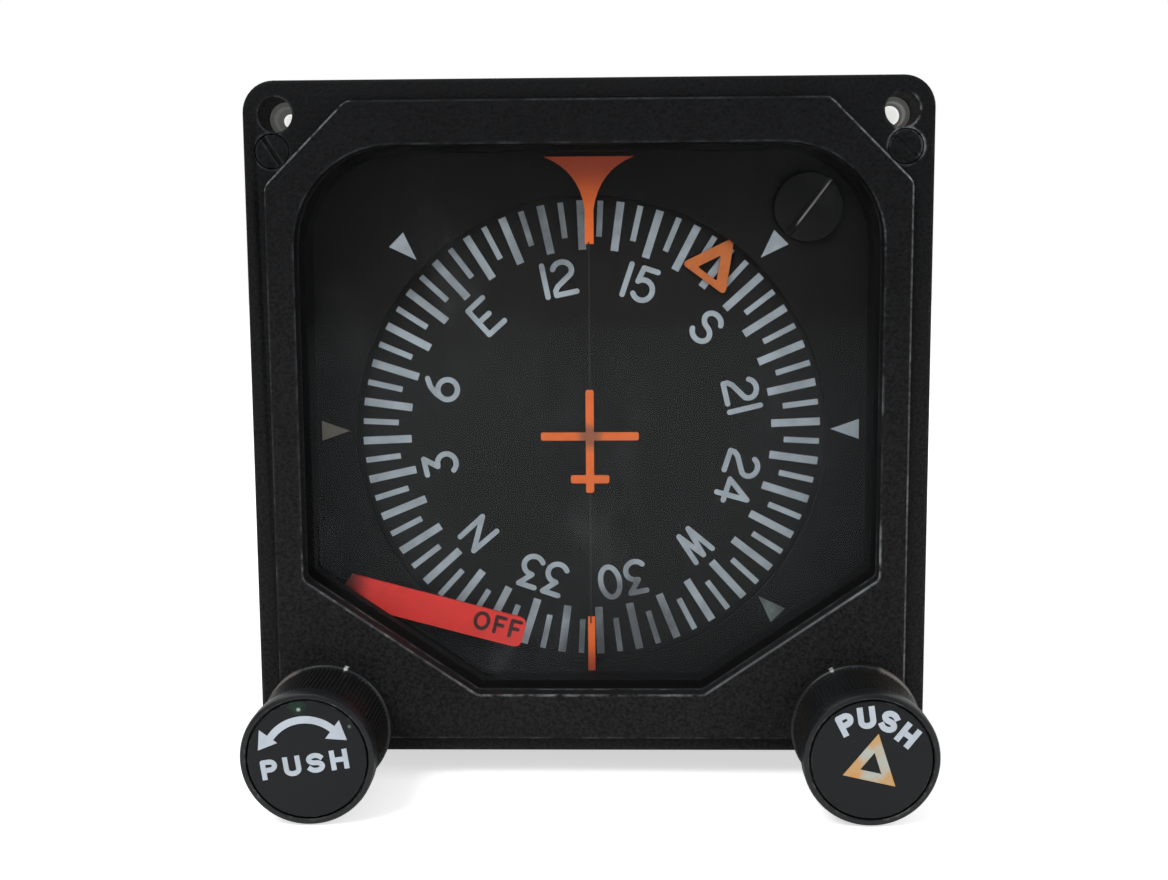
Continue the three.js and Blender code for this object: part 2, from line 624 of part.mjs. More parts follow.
function bezel() {
  const wall = BEZEL_HALF - BAY_WALL;
  const bay = [
    [BAY_INNER, -wall], [wall, -wall], [wall, -BAY_TOP], [WINDOW_HALF, -BAY_TOP],
    [WINDOW_HALF, -WINDOW_BOTTOM + WINDOW_CHAMFER_HEIGHT],
    [WINDOW_HALF - WINDOW_CHAMFER_WIDTH, -WINDOW_BOTTOM],
    [BAY_INNER, -WINDOW_BOTTOM],
  ];
  const body = joined(
    plate(rounded(square(BEZEL_HALF, BEZEL_CORNER)), 0, FLANGE_DEPTH),
    plate(plateauOutline(), -PLATEAU_RISE, LEDGE_DEPTH));
  const tools = [
    plate(windowOutline(0), -PLATEAU_RISE - OVER, FLANGE_DEPTH + OVER),
    plate(windowOutline(LEDGE_WIDTH), LEDGE_DEPTH, FLANGE_DEPTH + OVER),
    plate(bay, BAY_FLOOR, FLANGE_DEPTH + OVER),
    plate(mirrored(bay), BAY_FLOOR, FLANGE_DEPTH + OVER),
  ];
  const back = FLANGE_DEPTH + OVER;
  const insertFront = FLANGE_DEPTH - INSERT_DEPTH - SEAT;
  for (const side of [-1, 1]) {
    const drill = (radius, front, end, sides, x, z) =>
      tools.push(cylinder(radius, front, end, sides).translate(side * x, 0, z));
    drill(MOUNT_RADIUS, -OVER, back, 20, MOUNT_X, MOUNT_Z);
    drill(INSERT_RADIUS + FIT, insertFront, back, 16, MOUNT_X, MOUNT_Z);
    drill(SCREW_HEAD_RADIUS + FIT, -OVER, SCREW_HEAD_HEIGHT + SEAT, 20, SCREW_X, SCREW_Z);
    drill(SCREW_SHANK_RADIUS + FIT, -OVER, back, 12, SCREW_X, SCREW_Z);
    drill(BUSHING_RADIUS + FIT, -PLATEAU_RISE - OVER, back, 16, KNOB_X, KNOB_Z);
  }
  add('bezel', carved(body, ...tools), BLACK_PAINT);
}

function slottedScrew(name, x, z) {
  const blank = lathed([
    [0, SEAT], [SCREW_HEAD_RADIUS, SEAT], [SCREW_HEAD_RADIUS, SCREW_HEAD_HEIGHT],
    [SCREW_SHANK_RADIUS, SCREW_HEAD_HEIGHT], [SCREW_SHANK_RADIUS, SCREW_LENGTH], [0, SCREW_LENGTH]], 16);
  const slot = box(-SCREW_HEAD_RADIUS - OVER, SCREW_HEAD_RADIUS + OVER, SEAT - OVER, SEAT + SLOT_DEPTH,
    -SLOT_WIDTH / 2, SLOT_WIDTH / 2).rotateY(-SCREW_SLOT_TURN);
  add(name, carved(blank, slot), BLACK_PAINT, x, 0, z);
}

function mountInsert(name, x) {
  const front = FLANGE_DEPTH - INSERT_DEPTH;
  add(name, tube(INSERT_RADIUS, INSERT_BORE, front, FLANGE_DEPTH, 16), NYLON, x, 0, MOUNT_Z);
}

// Window stack: gasket, glass, frame, mask and the fixed marks

function windowStack() {
  const outer = LEDGE_WIDTH - FIT;
  add('window_gasket', plate(windowOutline(outer), GASKET_FRONT, GASKET_FRONT + GASKET_THICK,
    windowOutline(outer - GASKET_WIDTH)), RUBBER);
  add('window_glass', plate(windowOutline(outer), GLASS_FRONT, GLASS_BACK), CLEAR_GLASS);
  const flagSlot = rounded([
    [FLAG_PIVOT_X, -WINDOW_BOTTOM - OVER, 0],
    [-WINDOW_HALF + WINDOW_CHAMFER_WIDTH + OVER, -WINDOW_BOTTOM - OVER, 0],
    [-WINDOW_HALF + WINDOW_CHAMFER_WIDTH + OVER, -WINDOW_BOTTOM + FRAME_WALL, 0],
    [-WINDOW_HALF + FRAME_WALL, -WINDOW_BOTTOM + WINDOW_CHAMFER_HEIGHT + FLAG_SLOT_RISE, 0],
    [FLAG_PIVOT_X, -WINDOW_BOTTOM + WINDOW_CHAMFER_HEIGHT + FLAG_SLOT_RISE, 0],
  ]);
  const slotFront = FLAG_PLANE + (FLAG_THICK - FLAG_SLOT) / 2;
  add('window_frame', carved(
    plate(windowOutline(outer), FRAME_FRONT, FRAME_BACK, windowOutline(outer - FRAME_WALL)),
    plate(flagSlot, slotFront, slotFront + FLAG_SLOT)), DULL_BLACK);
  add('mask_plate', plate(windowOutline(MASK_MARGIN), MASK_FRONT, MASK_BACK,
    circle(MASK_HOLE, 60, 0, -CARD_DROP),
    circle(PLUG_STEM_RADIUS + FIT, 20, PLUG_X, PLUG_Z)), DULL_BLACK);
}

function accessPlug() {
  const front = MASK_FRONT - SEAT - PLUG_HEAD;
  const back = MASK_FRONT - SEAT + PLUG_STEM_LENGTH;
  const blank = lathed([
    [0, front], [PLUG_RADIUS, front], [PLUG_RADIUS, front + PLUG_HEAD],
    [PLUG_STEM_RADIUS, front + PLUG_HEAD], [PLUG_STEM_RADIUS, back], [0, back]], 24);
  const slot = box(-PLUG_RADIUS - OVER, PLUG_RADIUS + OVER, front - OVER, front + SLOT_DEPTH,
    -PLUG_SLOT_WIDTH / 2, PLUG_SLOT_WIDTH / 2).rotateY(-PLUG_SLOT_TURN);
  add('access_plug', carved(blank, slot), SATIN_BLACK, PLUG_X, 0, PLUG_Z);
}

function fixedMarks() {
  const back = MASK_FRONT - SEAT;
  const funnel = new THREE.QuadraticBezierCurve(
    new THREE.Vector2(LUBBER_HALF, LUBBER_TOP),
    new THREE.Vector2(LUBBER_CURVE_HALF, LUBBER_TOP - LUBBER_CURVE_DROP),
    new THREE.Vector2(LUBBER_STEM_HALF, LUBBER_TOP - LUBBER_FUNNEL)).getPoints(8).map((p) => [p.x, p.y]);
  const right = [...funnel, [LUBBER_STEM_HALF, LUBBER_TIP]].reverse();
  const left = right.map(([x, z]) => [-x, z]).reverse();
  add('lubber_pointer', plate([...right, ...left], back - MARK_THICK, back), ORANGE);
  add('lower_lubber', plate(rectangle(-LOWER_LINE_HALF, LOWER_LINE_BOTTOM, LOWER_LINE_HALF, LOWER_LINE_TOP),
    back - MARK_THICK, back), ORANGE);
  const front = FRAME_FRONT;
  const bar = (half, z0, z1) => box(-half, half, front, front + MARK_THICK, z0 - CARD_DROP, z1 - CARD_DROP);
  add('aircraft_symbol', joined(
    bar(PLANE_STROKE_HALF, -PLANE_TAIL, PLANE_NOSE),
    bar(PLANE_WING_HALF, -PLANE_STROKE_HALF, PLANE_STROKE_HALF),
    bar(PLANE_TAIL_HALF, -PLANE_TAIL_DROP - PLANE_STROKE_HALF, -PLANE_TAIL_DROP + PLANE_STROKE_HALF),
    bar(HAIRLINE_HALF, LOWER_LINE_TOP + CARD_DROP, LUBBER_TIP + CARD_DROP)), ORANGE);
}

// The line from the card's axis to a knob's axis carries that knob's idler gear. An idler with an
// odd number of teeth turns a tooth towards the pinion, one with an even number turns a gap.
function meshOf(side, idlerTeeth, ringTeeth) {
  const angle = Math.atan2(KNOB_Z + CARD_DROP, side * KNOB_X);
  const spacing = (MODULE * (ringTeeth + idlerTeeth)) / 2 + GEAR_BACKLASH;
  const [x, z] = polar(spacing, angle);
  return {
    idlerTeeth,
    place: [x, 0, z - CARD_DROP],
    ringPhase: angle,
    idlerPhase: angle + Math.PI + Math.PI / idlerTeeth,
    pinionPhase: angle + Math.PI + ((idlerTeeth % 2) * Math.PI) / PINION_TEETH,
  };
}

const headingMesh = meshOf(1, HEADING_IDLER_TEETH, BUG_RING_TEETH);
const syncMesh = meshOf(-1, SYNC_IDLER_TEETH, CARD_GEAR_TEETH);

// Compass card, its shaft and gears, and the heading bug; all turn about the card's axis

function cardGroup() {
  const at = [0, 0, -CARD_DROP];
  const card = plate(circle(CARD_RADIUS, 60), CARD_FRONT, CARD_BACK, circle(CARD_BORE, 16));
  add('compass_card', card, DULL_BLACK, ...at);
  const end = GYRO_DEPTH + BEVEL_REAR + BEVEL_WEB;
  add('card_shaft', lathed([
    [0, CARD_FRONT - SEAT], [CARD_SHAFT_RADIUS, CARD_FRONT - SEAT], [CARD_SHAFT_RADIUS, HUB_FRONT],
    [CARD_FLANGE_RADIUS, HUB_FRONT], [CARD_FLANGE_RADIUS, HUB_BACK], [CARD_DRUM_RADIUS, HUB_BACK],
    [CARD_DRUM_RADIUS, CARD_GEAR_FRONT - SEAT], [CARD_SHAFT_RADIUS, CARD_GEAR_FRONT - SEAT],
    [CARD_SHAFT_RADIUS, end], [0, end]], 20), STEEL, ...at);
  const bore = circle(CARD_SHAFT_RADIUS + RUN, 16);
  const teeth = gearOutline(CARD_GEAR_TEETH, syncMesh.ringPhase);
  add('card_gear', plate(teeth, CARD_GEAR_FRONT, CARD_GEAR_BACK, bore), BRASS, ...at);
  const gear = bevelGear(QUARTER + Math.PI / BEVEL_TEETH, CARD_SHAFT_RADIUS + RUN);
  add('card_bevel_gear', gear.rotateX(-QUARTER).translate(0, GYRO_DEPTH, 0), BRASS, ...at);
}

function bugGroup() {
  const ringGear = plate(gearOutline(BUG_RING_TEETH, headingMesh.ringPhase), BUG_RING_FRONT, BUG_RING_BACK,
    circle(CARD_DRUM_RADIUS + RUN, 32));
  add('bug_ring_gear', ringGear, BRASS, 0, 0, -CARD_DROP);
  // Drawn pointing up, then turned to the right of the top
  const outer = [
    polar(BUG_BASE_RADIUS, QUARTER + BUG_BASE_HALF_ANGLE),
    polar(BUG_BASE_RADIUS, QUARTER - BUG_BASE_HALF_ANGLE),
    [0, CARD_RADIUS]].map(([x, z]) => [x, z, 0]);
  const triangle = (margin) => grown(outer, margin).map(([x, z]) => [x, z]);
  const stem = rectangle(-BUG_STEM_HALF, MASK_HOLE, BUG_STEM_HALF, BUG_ARM_OUTER);
  const sector = (radius, sign) =>
    [-1, 0, 1].map((k) => polar(radius, QUARTER + sign * k * BUG_ARM_HALF_ANGLE));
  const arm = [...sector(BUG_ARM_INNER, -1), ...sector(BUG_ARM_OUTER, 1)];
  const back = BUG_FRONT + BUG_THICK;
  const bug = joined(
    carved(plate(triangle(0), BUG_FRONT, back),
      plate(triangle(-BUG_STROKE), BUG_FRONT - OVER, back + OVER)),
    plate(stem, BUG_FRONT, back),
    plate(arm, BUG_FRONT, BUG_RING_FRONT - SEAT));
  add('heading_bug', bug.rotateY(BUG_ANGLE), ORANGE, 0, 0, -CARD_DROP);
}

// Knobs and the gears that they push into mesh; each is drawn about its own knob's axis

const setScrewHole = (radius, from, to) =>
  upright(cylinder(radius, from, to, 14)).rotateY(Math.PI).translate(0, KNOB_FRONT + SET_SCREW_INSET, 0);

function knobBody(name, at) {
  const fluteBack = KNOB_BACK - KNOB_BASE_THICK;
  const fluteFront = KNOB_FRONT + KNOB_RIM_THICK;
  const flutes = Array.from({ length: 2 * KNOB_FLUTES }, (_, i) =>
    polar(i % 2 ? KNOB_FLUTE_INNER : KNOB_FLUTE_OUTER, (Math.PI * i) / KNOB_FLUTES));
  const capBack = KNOB_FRONT + KNOB_CAP_BELOW_RIM + KNOB_CAP_THICK;
  const blank = joined(
    cylinder(KNOB_BASE_RADIUS, fluteBack, KNOB_BACK, 32),
    plate(flutes, fluteFront - KNOB_RIM_EDGE, fluteBack + KNOB_RIM_EDGE),
    lathed([
      [0, KNOB_FRONT], [KNOB_RIM_RADIUS - KNOB_RIM_EDGE, KNOB_FRONT],
      [KNOB_RIM_RADIUS, KNOB_FRONT + KNOB_RIM_EDGE], [KNOB_RIM_RADIUS, fluteFront], [0, fluteFront]], 32));
  add(name, carved(blank,
    cylinder(KNOB_RECESS_RADIUS, KNOB_BACK - KNOB_RECESS_DEPTH, KNOB_BACK + OVER, 20),
    cylinder(KNOB_SHAFT_RADIUS + RUN, KNOB_BACK - KNOB_SHAFT_DEPTH, KNOB_BACK + OVER, 16),
    cylinder(KNOB_CAP_RADIUS + FIT, KNOB_FRONT - OVER, capBack + SEAT, 32),
    setScrewHole(SET_SCREW_RADIUS + RUN, 0, KNOB_RIM_RADIUS + OVER)), SATIN_BLACK, ...at);
}

function setScrew(name, at) {
  const foot = KNOB_SHAFT_RADIUS + SEAT;
  const head = KNOB_FLUTE_INNER - SEAT;
  const socket = setScrewHole(SET_SCREW_RADIUS / 2, head - SET_SCREW_RADIUS, head + OVER);
  add(name, carved(setScrewHole(SET_SCREW_RADIUS, foot, head), socket), STEEL, ...at);
}

class Helix extends THREE.Curve {
  getPoint(t, target = new THREE.Vector3()) {
    const [x, z] = polar(SPRING_RADIUS, 2 * Math.PI * SPRING_TURNS * t);
    return target.set(x, THREE.MathUtils.lerp(this.front, this.back, t), z);
  }
}

function returnSpring(name, front, back, at) {
  const path = new Helix();
  path.front = front + SPRING_WIRE / 2;
  path.back = back - SPRING_WIRE / 2;
  const section = shapeOf(circle(SPRING_WIRE / 2, SPRING_WIRE_SIDES));
  const steps = SPRING_TURNS * SPRING_STEPS;
  add(name, outward(new THREE.ExtrudeGeometry(section, { steps, extrudePath: path })), STEEL, ...at);
}

function knobTrain(knob, side, mesh, ringFront) {
  const at = [side * KNOB_X, 0, KNOB_Z];
  const idlerBack = ringFront - MESH_REST_GAP;
  const idlerFront = idlerBack - IDLER_THICK;
  const carrierBack = idlerFront - SEAT;
  const carrierFront = carrierBack - CARRIER_THICK;
  const shaftFront = KNOB_BACK - KNOB_SHAFT_DEPTH + SEAT;

  knobBody(`${knob}_knob`, at);
  const capFront = KNOB_FRONT + KNOB_CAP_BELOW_RIM;
  const cap = cylinder(KNOB_CAP_RADIUS, capFront, capFront + KNOB_CAP_THICK, 32);
  add(`${knob}_knob_cap`, cap, SATIN_BLACK, ...at);
  setScrew(`${knob}_set_screw`, at);
  add(`${knob}_shaft`, joined(
    lathed([
      [0, shaftFront], [KNOB_SHAFT_RADIUS, shaftFront], [KNOB_SHAFT_RADIUS, carrierFront - SEAT],
      [NECK_RADIUS, carrierFront - SEAT], [NECK_RADIUS, idlerBack + SHAFT_END],
      [0, idlerBack + SHAFT_END]], 16),
    plate(gearOutline(PINION_TEETH, mesh.pinionPhase), idlerFront, idlerBack)), STEEL, ...at);

  const seat = -PLATEAU_RISE - SEAT;
  const flangeFront = seat - BUSHING_FLANGE_THICK;
  const bore = KNOB_SHAFT_RADIUS + RUN;
  add(`${knob}_bushing`, lathed([
    [bore, flangeFront], [BUSHING_FLANGE_RADIUS, flangeFront], [BUSHING_FLANGE_RADIUS, seat],
    [BUSHING_RADIUS, seat], [BUSHING_RADIUS, BAY_FLOOR], [bore, BAY_FLOOR]], 16, true), BRASS, ...at);
  returnSpring(`${knob}_spring`, KNOB_BACK - KNOB_RECESS_DEPTH + SEAT, flangeFront - SEAT, at);

  const [dx, , dz] = mesh.place.map((value, i) => value - at[i]);
  const toIdler = Math.atan2(dz, dx);
  const reach = Math.hypot(dx, dz);
  const link = turned([
    ...arc(CARRIER_END_RADIUS, -QUARTER, QUARTER, reach),
    ...arc(CARRIER_END_RADIUS, QUARTER, 3 * QUARTER, 0),
  ], toIdler);
  const headFront = idlerBack + SEAT;
  const spindle = lathed([
    [0, carrierBack - CARRIER_THICK / 2], [SPINDLE_RADIUS, carrierBack - CARRIER_THICK / 2],
    [SPINDLE_RADIUS, headFront], [SPINDLE_HEAD_RADIUS, headFront],
    [SPINDLE_HEAD_RADIUS, headFront + SPINDLE_HEAD_THICK], [0, headFront + SPINDLE_HEAD_THICK]], 16);
  add(`${knob}_gear_carrier`, joined(
    plate(link, carrierFront, carrierBack, circle(NECK_RADIUS + RUN, 16)),
    spindle.translate(dx, 0, dz)), ALUMINIUM, ...at);
  add(`${knob}_idler_gear`, plate(gearOutline(mesh.idlerTeeth, mesh.idlerPhase), idlerFront, idlerBack,
    circle(IDLER_BORE, 16)), BRASS, ...mesh.place);
}

// Warning flag on its arbor, and the small motor that swings it

function warningFlag() {
  const back = FLAG_PLANE + FLAG_THICK;
  const strip = (x0, z0, x1, z1, half) => {
    const along = new THREE.Vector2(x1 - x0, z1 - z0).setLength(half);
    const [ax, az] = [along.x, along.y];
    return [
      [x0 - ax + az, z0 - az - ax], [x1 + ax + az, z1 + az - ax],
      [x1 + ax - az, z1 + az + ax], [x0 - ax - az, z0 - az + ax]];
  };
  const blade = rounded([
    [-FLAG_ROOT_CUT, -FLAG_HEIGHT, 0], [FLAG_LENGTH, -FLAG_HEIGHT, FLAG_END_RADIUS],
    [FLAG_LENGTH, 0, FLAG_END_RADIUS], [0, 0, 0]]);
  const flat = (points) => plate(points, FLAG_PLANE, back);
  const half = FLAG_ARM_WIDTH / 2;
  add('warning_flag', carved(joined(
    flat(moved(turned(blade, FLAG_TILT), FLAG_LEFT, FLAG_LEFT_TOP)),
    flat(strip(FLAG_PIVOT_X, FLAG_PIVOT_Z, FLAG_ELBOW_X, FLAG_ELBOW_Z, half)),
    flat(strip(FLAG_ELBOW_X, FLAG_ELBOW_Z, FLAG_ROOT_X, FLAG_ROOT_Z, half)),
    flat(circle(FLAG_HUB_RADIUS, 14, FLAG_PIVOT_X, FLAG_PIVOT_Z))),
  cylinder(FLAG_ARBOR_RADIUS + RUN, FLAG_PLANE - OVER, back + OVER, 14)
    .translate(FLAG_PIVOT_X, 0, FLAG_PIVOT_Z)), RED);
  const motorFront = FRAME_PLATE_BACK + SEAT;
  const arborBack = motorFront + FLAG_MOTOR_DEPTH / 2;
  add('flag_arbor', cylinder(FLAG_ARBOR_RADIUS, FLAG_PLANE - FLAG_THICK, arborBack, 14), STEEL,
    FLAG_PIVOT_X, 0, FLAG_PIVOT_Z);
  const left = -CASE_INNER + FRAME_ARM_GAP;
  add('flag_motor', carved(
    box(left, left + FLAG_MOTOR_WIDTH, motorFront, motorFront + FLAG_MOTOR_DEPTH,
      FLAG_PIVOT_Z - FLAG_MOTOR_HEIGHT / 2, FLAG_PIVOT_Z + FLAG_MOTOR_HEIGHT / 2),
    cylinder(FLAG_ARBOR_RADIUS + RUN, motorFront - OVER, arborBack + SEAT, 14)
      .translate(FLAG_PIVOT_X, 0, FLAG_PIVOT_Z)), LACQUER);
}

// Gyro frame, bearings and the two gimbals about the middle of the gyro

const ARM_TOP = CASE_INNER - FRAME_ARM_GAP;
const ARM_BOTTOM = ARM_TOP - FRAME_ARM_THICK;
const GYRO = [0, GYRO_DEPTH, -CARD_DROP];

function gyroFrame() {
  const half = CASE_INNER - FRAME_ARM_GAP;
  const holes = [circle(BEARING_RADIUS + SEAT, 20, 0, -CARD_DROP)];
  for (const x of [-FRAME_HOLE_PLACE, FRAME_HOLE_PLACE]) {
    for (const z of [-FRAME_HOLE_PLACE, FRAME_HOLE_PLACE]) holes.push(circle(FRAME_HOLE_RADIUS, 14, x, z));
  }
  const arm = (z0, z1) =>
    box(-FRAME_ARM_HALF, FRAME_ARM_HALF, FRAME_PLATE_FRONT, BOARD_DEPTH - SEAT, z0, z1);
  const bore = (z) =>
    upright(cylinder(GIMBAL_BEARING_RADIUS + SEAT, z - OVER, z + FRAME_ARM_THICK + OVER, 20))
      .translate(0, GYRO_DEPTH, 0);
  add('gyro_frame', carved(
    joined(
      plate(rounded(square(half, BEZEL_CORNER)), FRAME_PLATE_FRONT, FRAME_PLATE_BACK, ...holes),
      arm(ARM_BOTTOM, ARM_TOP), arm(-ARM_TOP, -ARM_BOTTOM)),
    bore(ARM_BOTTOM), bore(-ARM_TOP),
    cylinder(FLAG_ARBOR_RADIUS + RUN, 0, FRAME_PLATE_BACK + OVER, 14)
      .translate(FLAG_PIVOT_X, 0, FLAG_PIVOT_Z)), ALUMINIUM);
  add('card_bearing', lathed([
    [CARD_SHAFT_RADIUS + RUN, FRAME_PLATE_FRONT - BEARING_RIM_THICK - SEAT],
    [BEARING_RIM, FRAME_PLATE_FRONT - BEARING_RIM_THICK - SEAT], [BEARING_RIM, FRAME_PLATE_FRONT - SEAT],
    [BEARING_RADIUS, FRAME_PLATE_FRONT - SEAT], [BEARING_RADIUS, FRAME_PLATE_BACK],
    [CARD_SHAFT_RADIUS + RUN, FRAME_PLATE_BACK]], 16, true), STEEL, 0, 0, -CARD_DROP);
  const bearing = (z) =>
    upright(tube(GIMBAL_BEARING_RADIUS, GIMBAL_STUB_RADIUS + RUN, z, z + FRAME_ARM_THICK, 16));
  add('gimbal_top_bearing', bearing(ARM_BOTTOM), STEEL, 0, GYRO_DEPTH, 0);
  add('gimbal_bottom_bearing', bearing(-ARM_TOP), STEEL, 0, GYRO_DEPTH, 0);
  const brushLeft = SLIP_RING_RADIUS + BRUSH_GAP;
  add('brush_block', box(brushLeft, brushLeft + BRUSH_WIDTH, GYRO_DEPTH - BRUSH_LENGTH / 2,
    GYRO_DEPTH + BRUSH_LENGTH / 2, ARM_BOTTOM - SEAT - BRUSH_HEIGHT, ARM_BOTTOM - SEAT), LACQUER);
}

function outerGimbal() {
  const inner = GIMBAL_OUTER - GIMBAL_WALL;
  const bossEnd = GIMBAL_OUTER + GIMBAL_BOSS_HEIGHT;
  const middle = GIMBAL_OUTER - GIMBAL_WALL / 2;
  const post = (radius, z0, z1) => upright(cylinder(radius, z0, z1, 20));
  const topEnd = ARM_TOP + CARD_DROP - SEAT;
  const bottomEnd = -ARM_TOP + CARD_DROP + SEAT;
  add('outer_gimbal', carved(
    joined(
      tube(GIMBAL_OUTER, inner, -GIMBAL_WIDTH / 2, GIMBAL_WIDTH / 2, GIMBAL_SIDES),
      post(GIMBAL_BOSS_RADIUS, middle, bossEnd), post(GIMBAL_BOSS_RADIUS, -bossEnd, -middle),
      post(GIMBAL_STUB_RADIUS, middle, topEnd), post(GIMBAL_STUB_RADIUS, bottomEnd, -middle)),
    sideways(cylinder(TILT_PIN_RADIUS + RUN, -GIMBAL_OUTER - OVER, GIMBAL_OUTER + OVER, 16))),
  ALUMINIUM, ...GYRO);
  add('gimbal_bevel_gear', bevelGear(-QUARTER, GIMBAL_STUB_RADIUS + RUN), BRASS, ...GYRO);
  const top = bossEnd + SEAT;
  const profile = [[GIMBAL_STUB_RADIUS + RUN, top]];
  for (let i = 0; i < SLIP_RING_COUNT; i += 1) {
    const z = top + i * SLIP_RING_PITCH;
    profile.push(
      [SLIP_RING_RADIUS, z], [SLIP_RING_RADIUS, z + SLIP_RING_PITCH / 2],
      [SLIP_RING_RADIUS - SLIP_RING_GROOVE, z + SLIP_RING_PITCH / 2],
      [SLIP_RING_RADIUS - SLIP_RING_GROOVE, z + SLIP_RING_PITCH]);
  }
  profile.push([GIMBAL_STUB_RADIUS + RUN, top + SLIP_RING_COUNT * SLIP_RING_PITCH]);
  add('slip_rings', upright(lathed(profile, 16, true)), BRASS, ...GYRO);
}

function innerGimbal() {
  const inner = INNER_GIMBAL_RADIUS - INNER_GIMBAL_WALL;
  const pin = (x0, x1) => sideways(cylinder(TILT_PIN_RADIUS, x0, x1, 16));
  const pinRoot = INNER_GIMBAL_RADIUS - INNER_GIMBAL_WALL / 2;
  const pinEnd = INNER_GIMBAL_RADIUS + TILT_PIN_LENGTH;
  add('inner_gimbal', carved(
    joined(
      upright(tube(INNER_GIMBAL_RADIUS, inner, -INNER_GIMBAL_WIDTH / 2, INNER_GIMBAL_WIDTH / 2,
        GIMBAL_SIDES)),
      pin(pinRoot, pinEnd), pin(-pinEnd, -pinRoot)),
    cylinder(ROTOR_BEARING_RADIUS + SEAT, -INNER_GIMBAL_RADIUS - OVER, INNER_GIMBAL_RADIUS + OVER, 20)),
  ALUMINIUM, ...GYRO);
  const bearingFront = inner + SEAT;
  const bearingBack = bearingFront + ROTOR_BEARING_LENGTH;
  const bearing = (front, back) => tube(ROTOR_BEARING_RADIUS, ROTOR_SHAFT_RADIUS + RUN, front, back, 20);
  add('rotor_front_bearing', bearing(-bearingBack, -bearingFront), STEEL, ...GYRO);
  add('rotor_rear_bearing', bearing(bearingFront, bearingBack), STEEL, ...GYRO);
  const side = (sign) => [
    [ROTOR_SHAFT_RADIUS, sign * (bearingBack - SEAT)], [ROTOR_SHAFT_RADIUS, (sign * ROTOR_WIDTH) / 2],
    [ROTOR_HUB_RADIUS, (sign * ROTOR_WIDTH) / 2], [ROTOR_HUB_RADIUS, (sign * ROTOR_WEB) / 2],
    [ROTOR_RADIUS - ROTOR_RIM, (sign * ROTOR_WEB) / 2], [ROTOR_RADIUS - ROTOR_RIM, (sign * ROTOR_WIDTH) / 2],
    [ROTOR_RADIUS, (sign * ROTOR_WIDTH) / 2],
  ];
  add('rotor', lathed([
    [0, -bearingBack + SEAT], ...side(-1), ...side(1).reverse(), [0, bearingBack - SEAT]], 24),
  BRASS, ...GYRO);
}

// Electronics behind the gyro

function electronics() {
  const back = BOARD_DEPTH + BOARD_THICK;
  const chip = (x, z) => box(x - CHIP_WIDTH / 2, x + CHIP_WIDTH / 2,
    back - BOARD_THICK / 2, back + CHIP_HEIGHT, z - CHIP_LENGTH / 2, z + CHIP_LENGTH / 2);
  const chips = [-1, 0, 1].map((k) => chip(k * 2 * CHIP_WIDTH, CHIP_LENGTH));
  add('circuit_board', joined(
    box(-BOARD_WIDTH / 2, BOARD_WIDTH / 2, BOARD_DEPTH, back, -BOARD_HEIGHT / 2, BOARD_HEIGHT / 2),
    ...chips), BOARD_GREEN);
  const front = back + SEAT;
  add('transformer', box(-TRANSFORMER_WIDTH / 2, TRANSFORMER_WIDTH / 2, front, front + TRANSFORMER_DEPTH,
    TRANSFORMER_Z - TRANSFORMER_HEIGHT / 2, TRANSFORMER_Z + TRANSFORMER_HEIGHT / 2), LACQUER);
}

// Case, rear cover and connector

function caseTube() {
  const section = square(CASE_HALF, CASE_CORNER);
  const pieces = [plate(rounded(section), CASE_FRONT, CASE_BACK, rounded(grown(section, -CASE_WALL)))];
  const inset = CASE_HALF - CASE_WALL / 2;
  const tools = [];
  for (const side of [-1, 1]) {
    const edges = [side * (SCREW_X - FRONT_BOSS_HALF), side * inset].sort((a, b) => a - b);
    pieces.push(box(...edges, CASE_FRONT, CASE_FRONT + FRONT_BOSS_DEPTH, SCREW_Z - FRONT_BOSS_HALF,
      SCREW_Z + FRONT_BOSS_HALF));
    tools.push(cylinder(SCREW_SHANK_RADIUS + RUN, CASE_FRONT - OVER, CASE_FRONT + FRONT_BOSS_DEPTH + OVER, 14)
      .translate(side * SCREW_X, 0, SCREW_Z));
    for (const up of [-1, 1]) {
      const corner = rounded([
        [inset - REAR_BOSS_SIZE, inset - REAR_BOSS_SIZE, 0], [inset, inset - REAR_BOSS_SIZE, 0],
        [inset, inset, CASE_CORNER - CASE_WALL / 2], [inset - REAR_BOSS_SIZE, inset, 0]]);
      pieces.push(plate(corner.map(([x, z]) => [side * x, up * z]), CASE_BACK - REAR_BOSS_DEPTH, CASE_BACK));
      tools.push(cylinder(COVER_SCREW_RADIUS + RUN, CASE_BACK - REAR_BOSS_DEPTH - OVER, CASE_BACK + OVER, 12)
        .translate(side * COVER_SCREW_PLACE, 0, up * COVER_SCREW_PLACE));
    }
  }
  add('case', carved(joined(...pieces), ...tools), BLACK_PAINT);
}

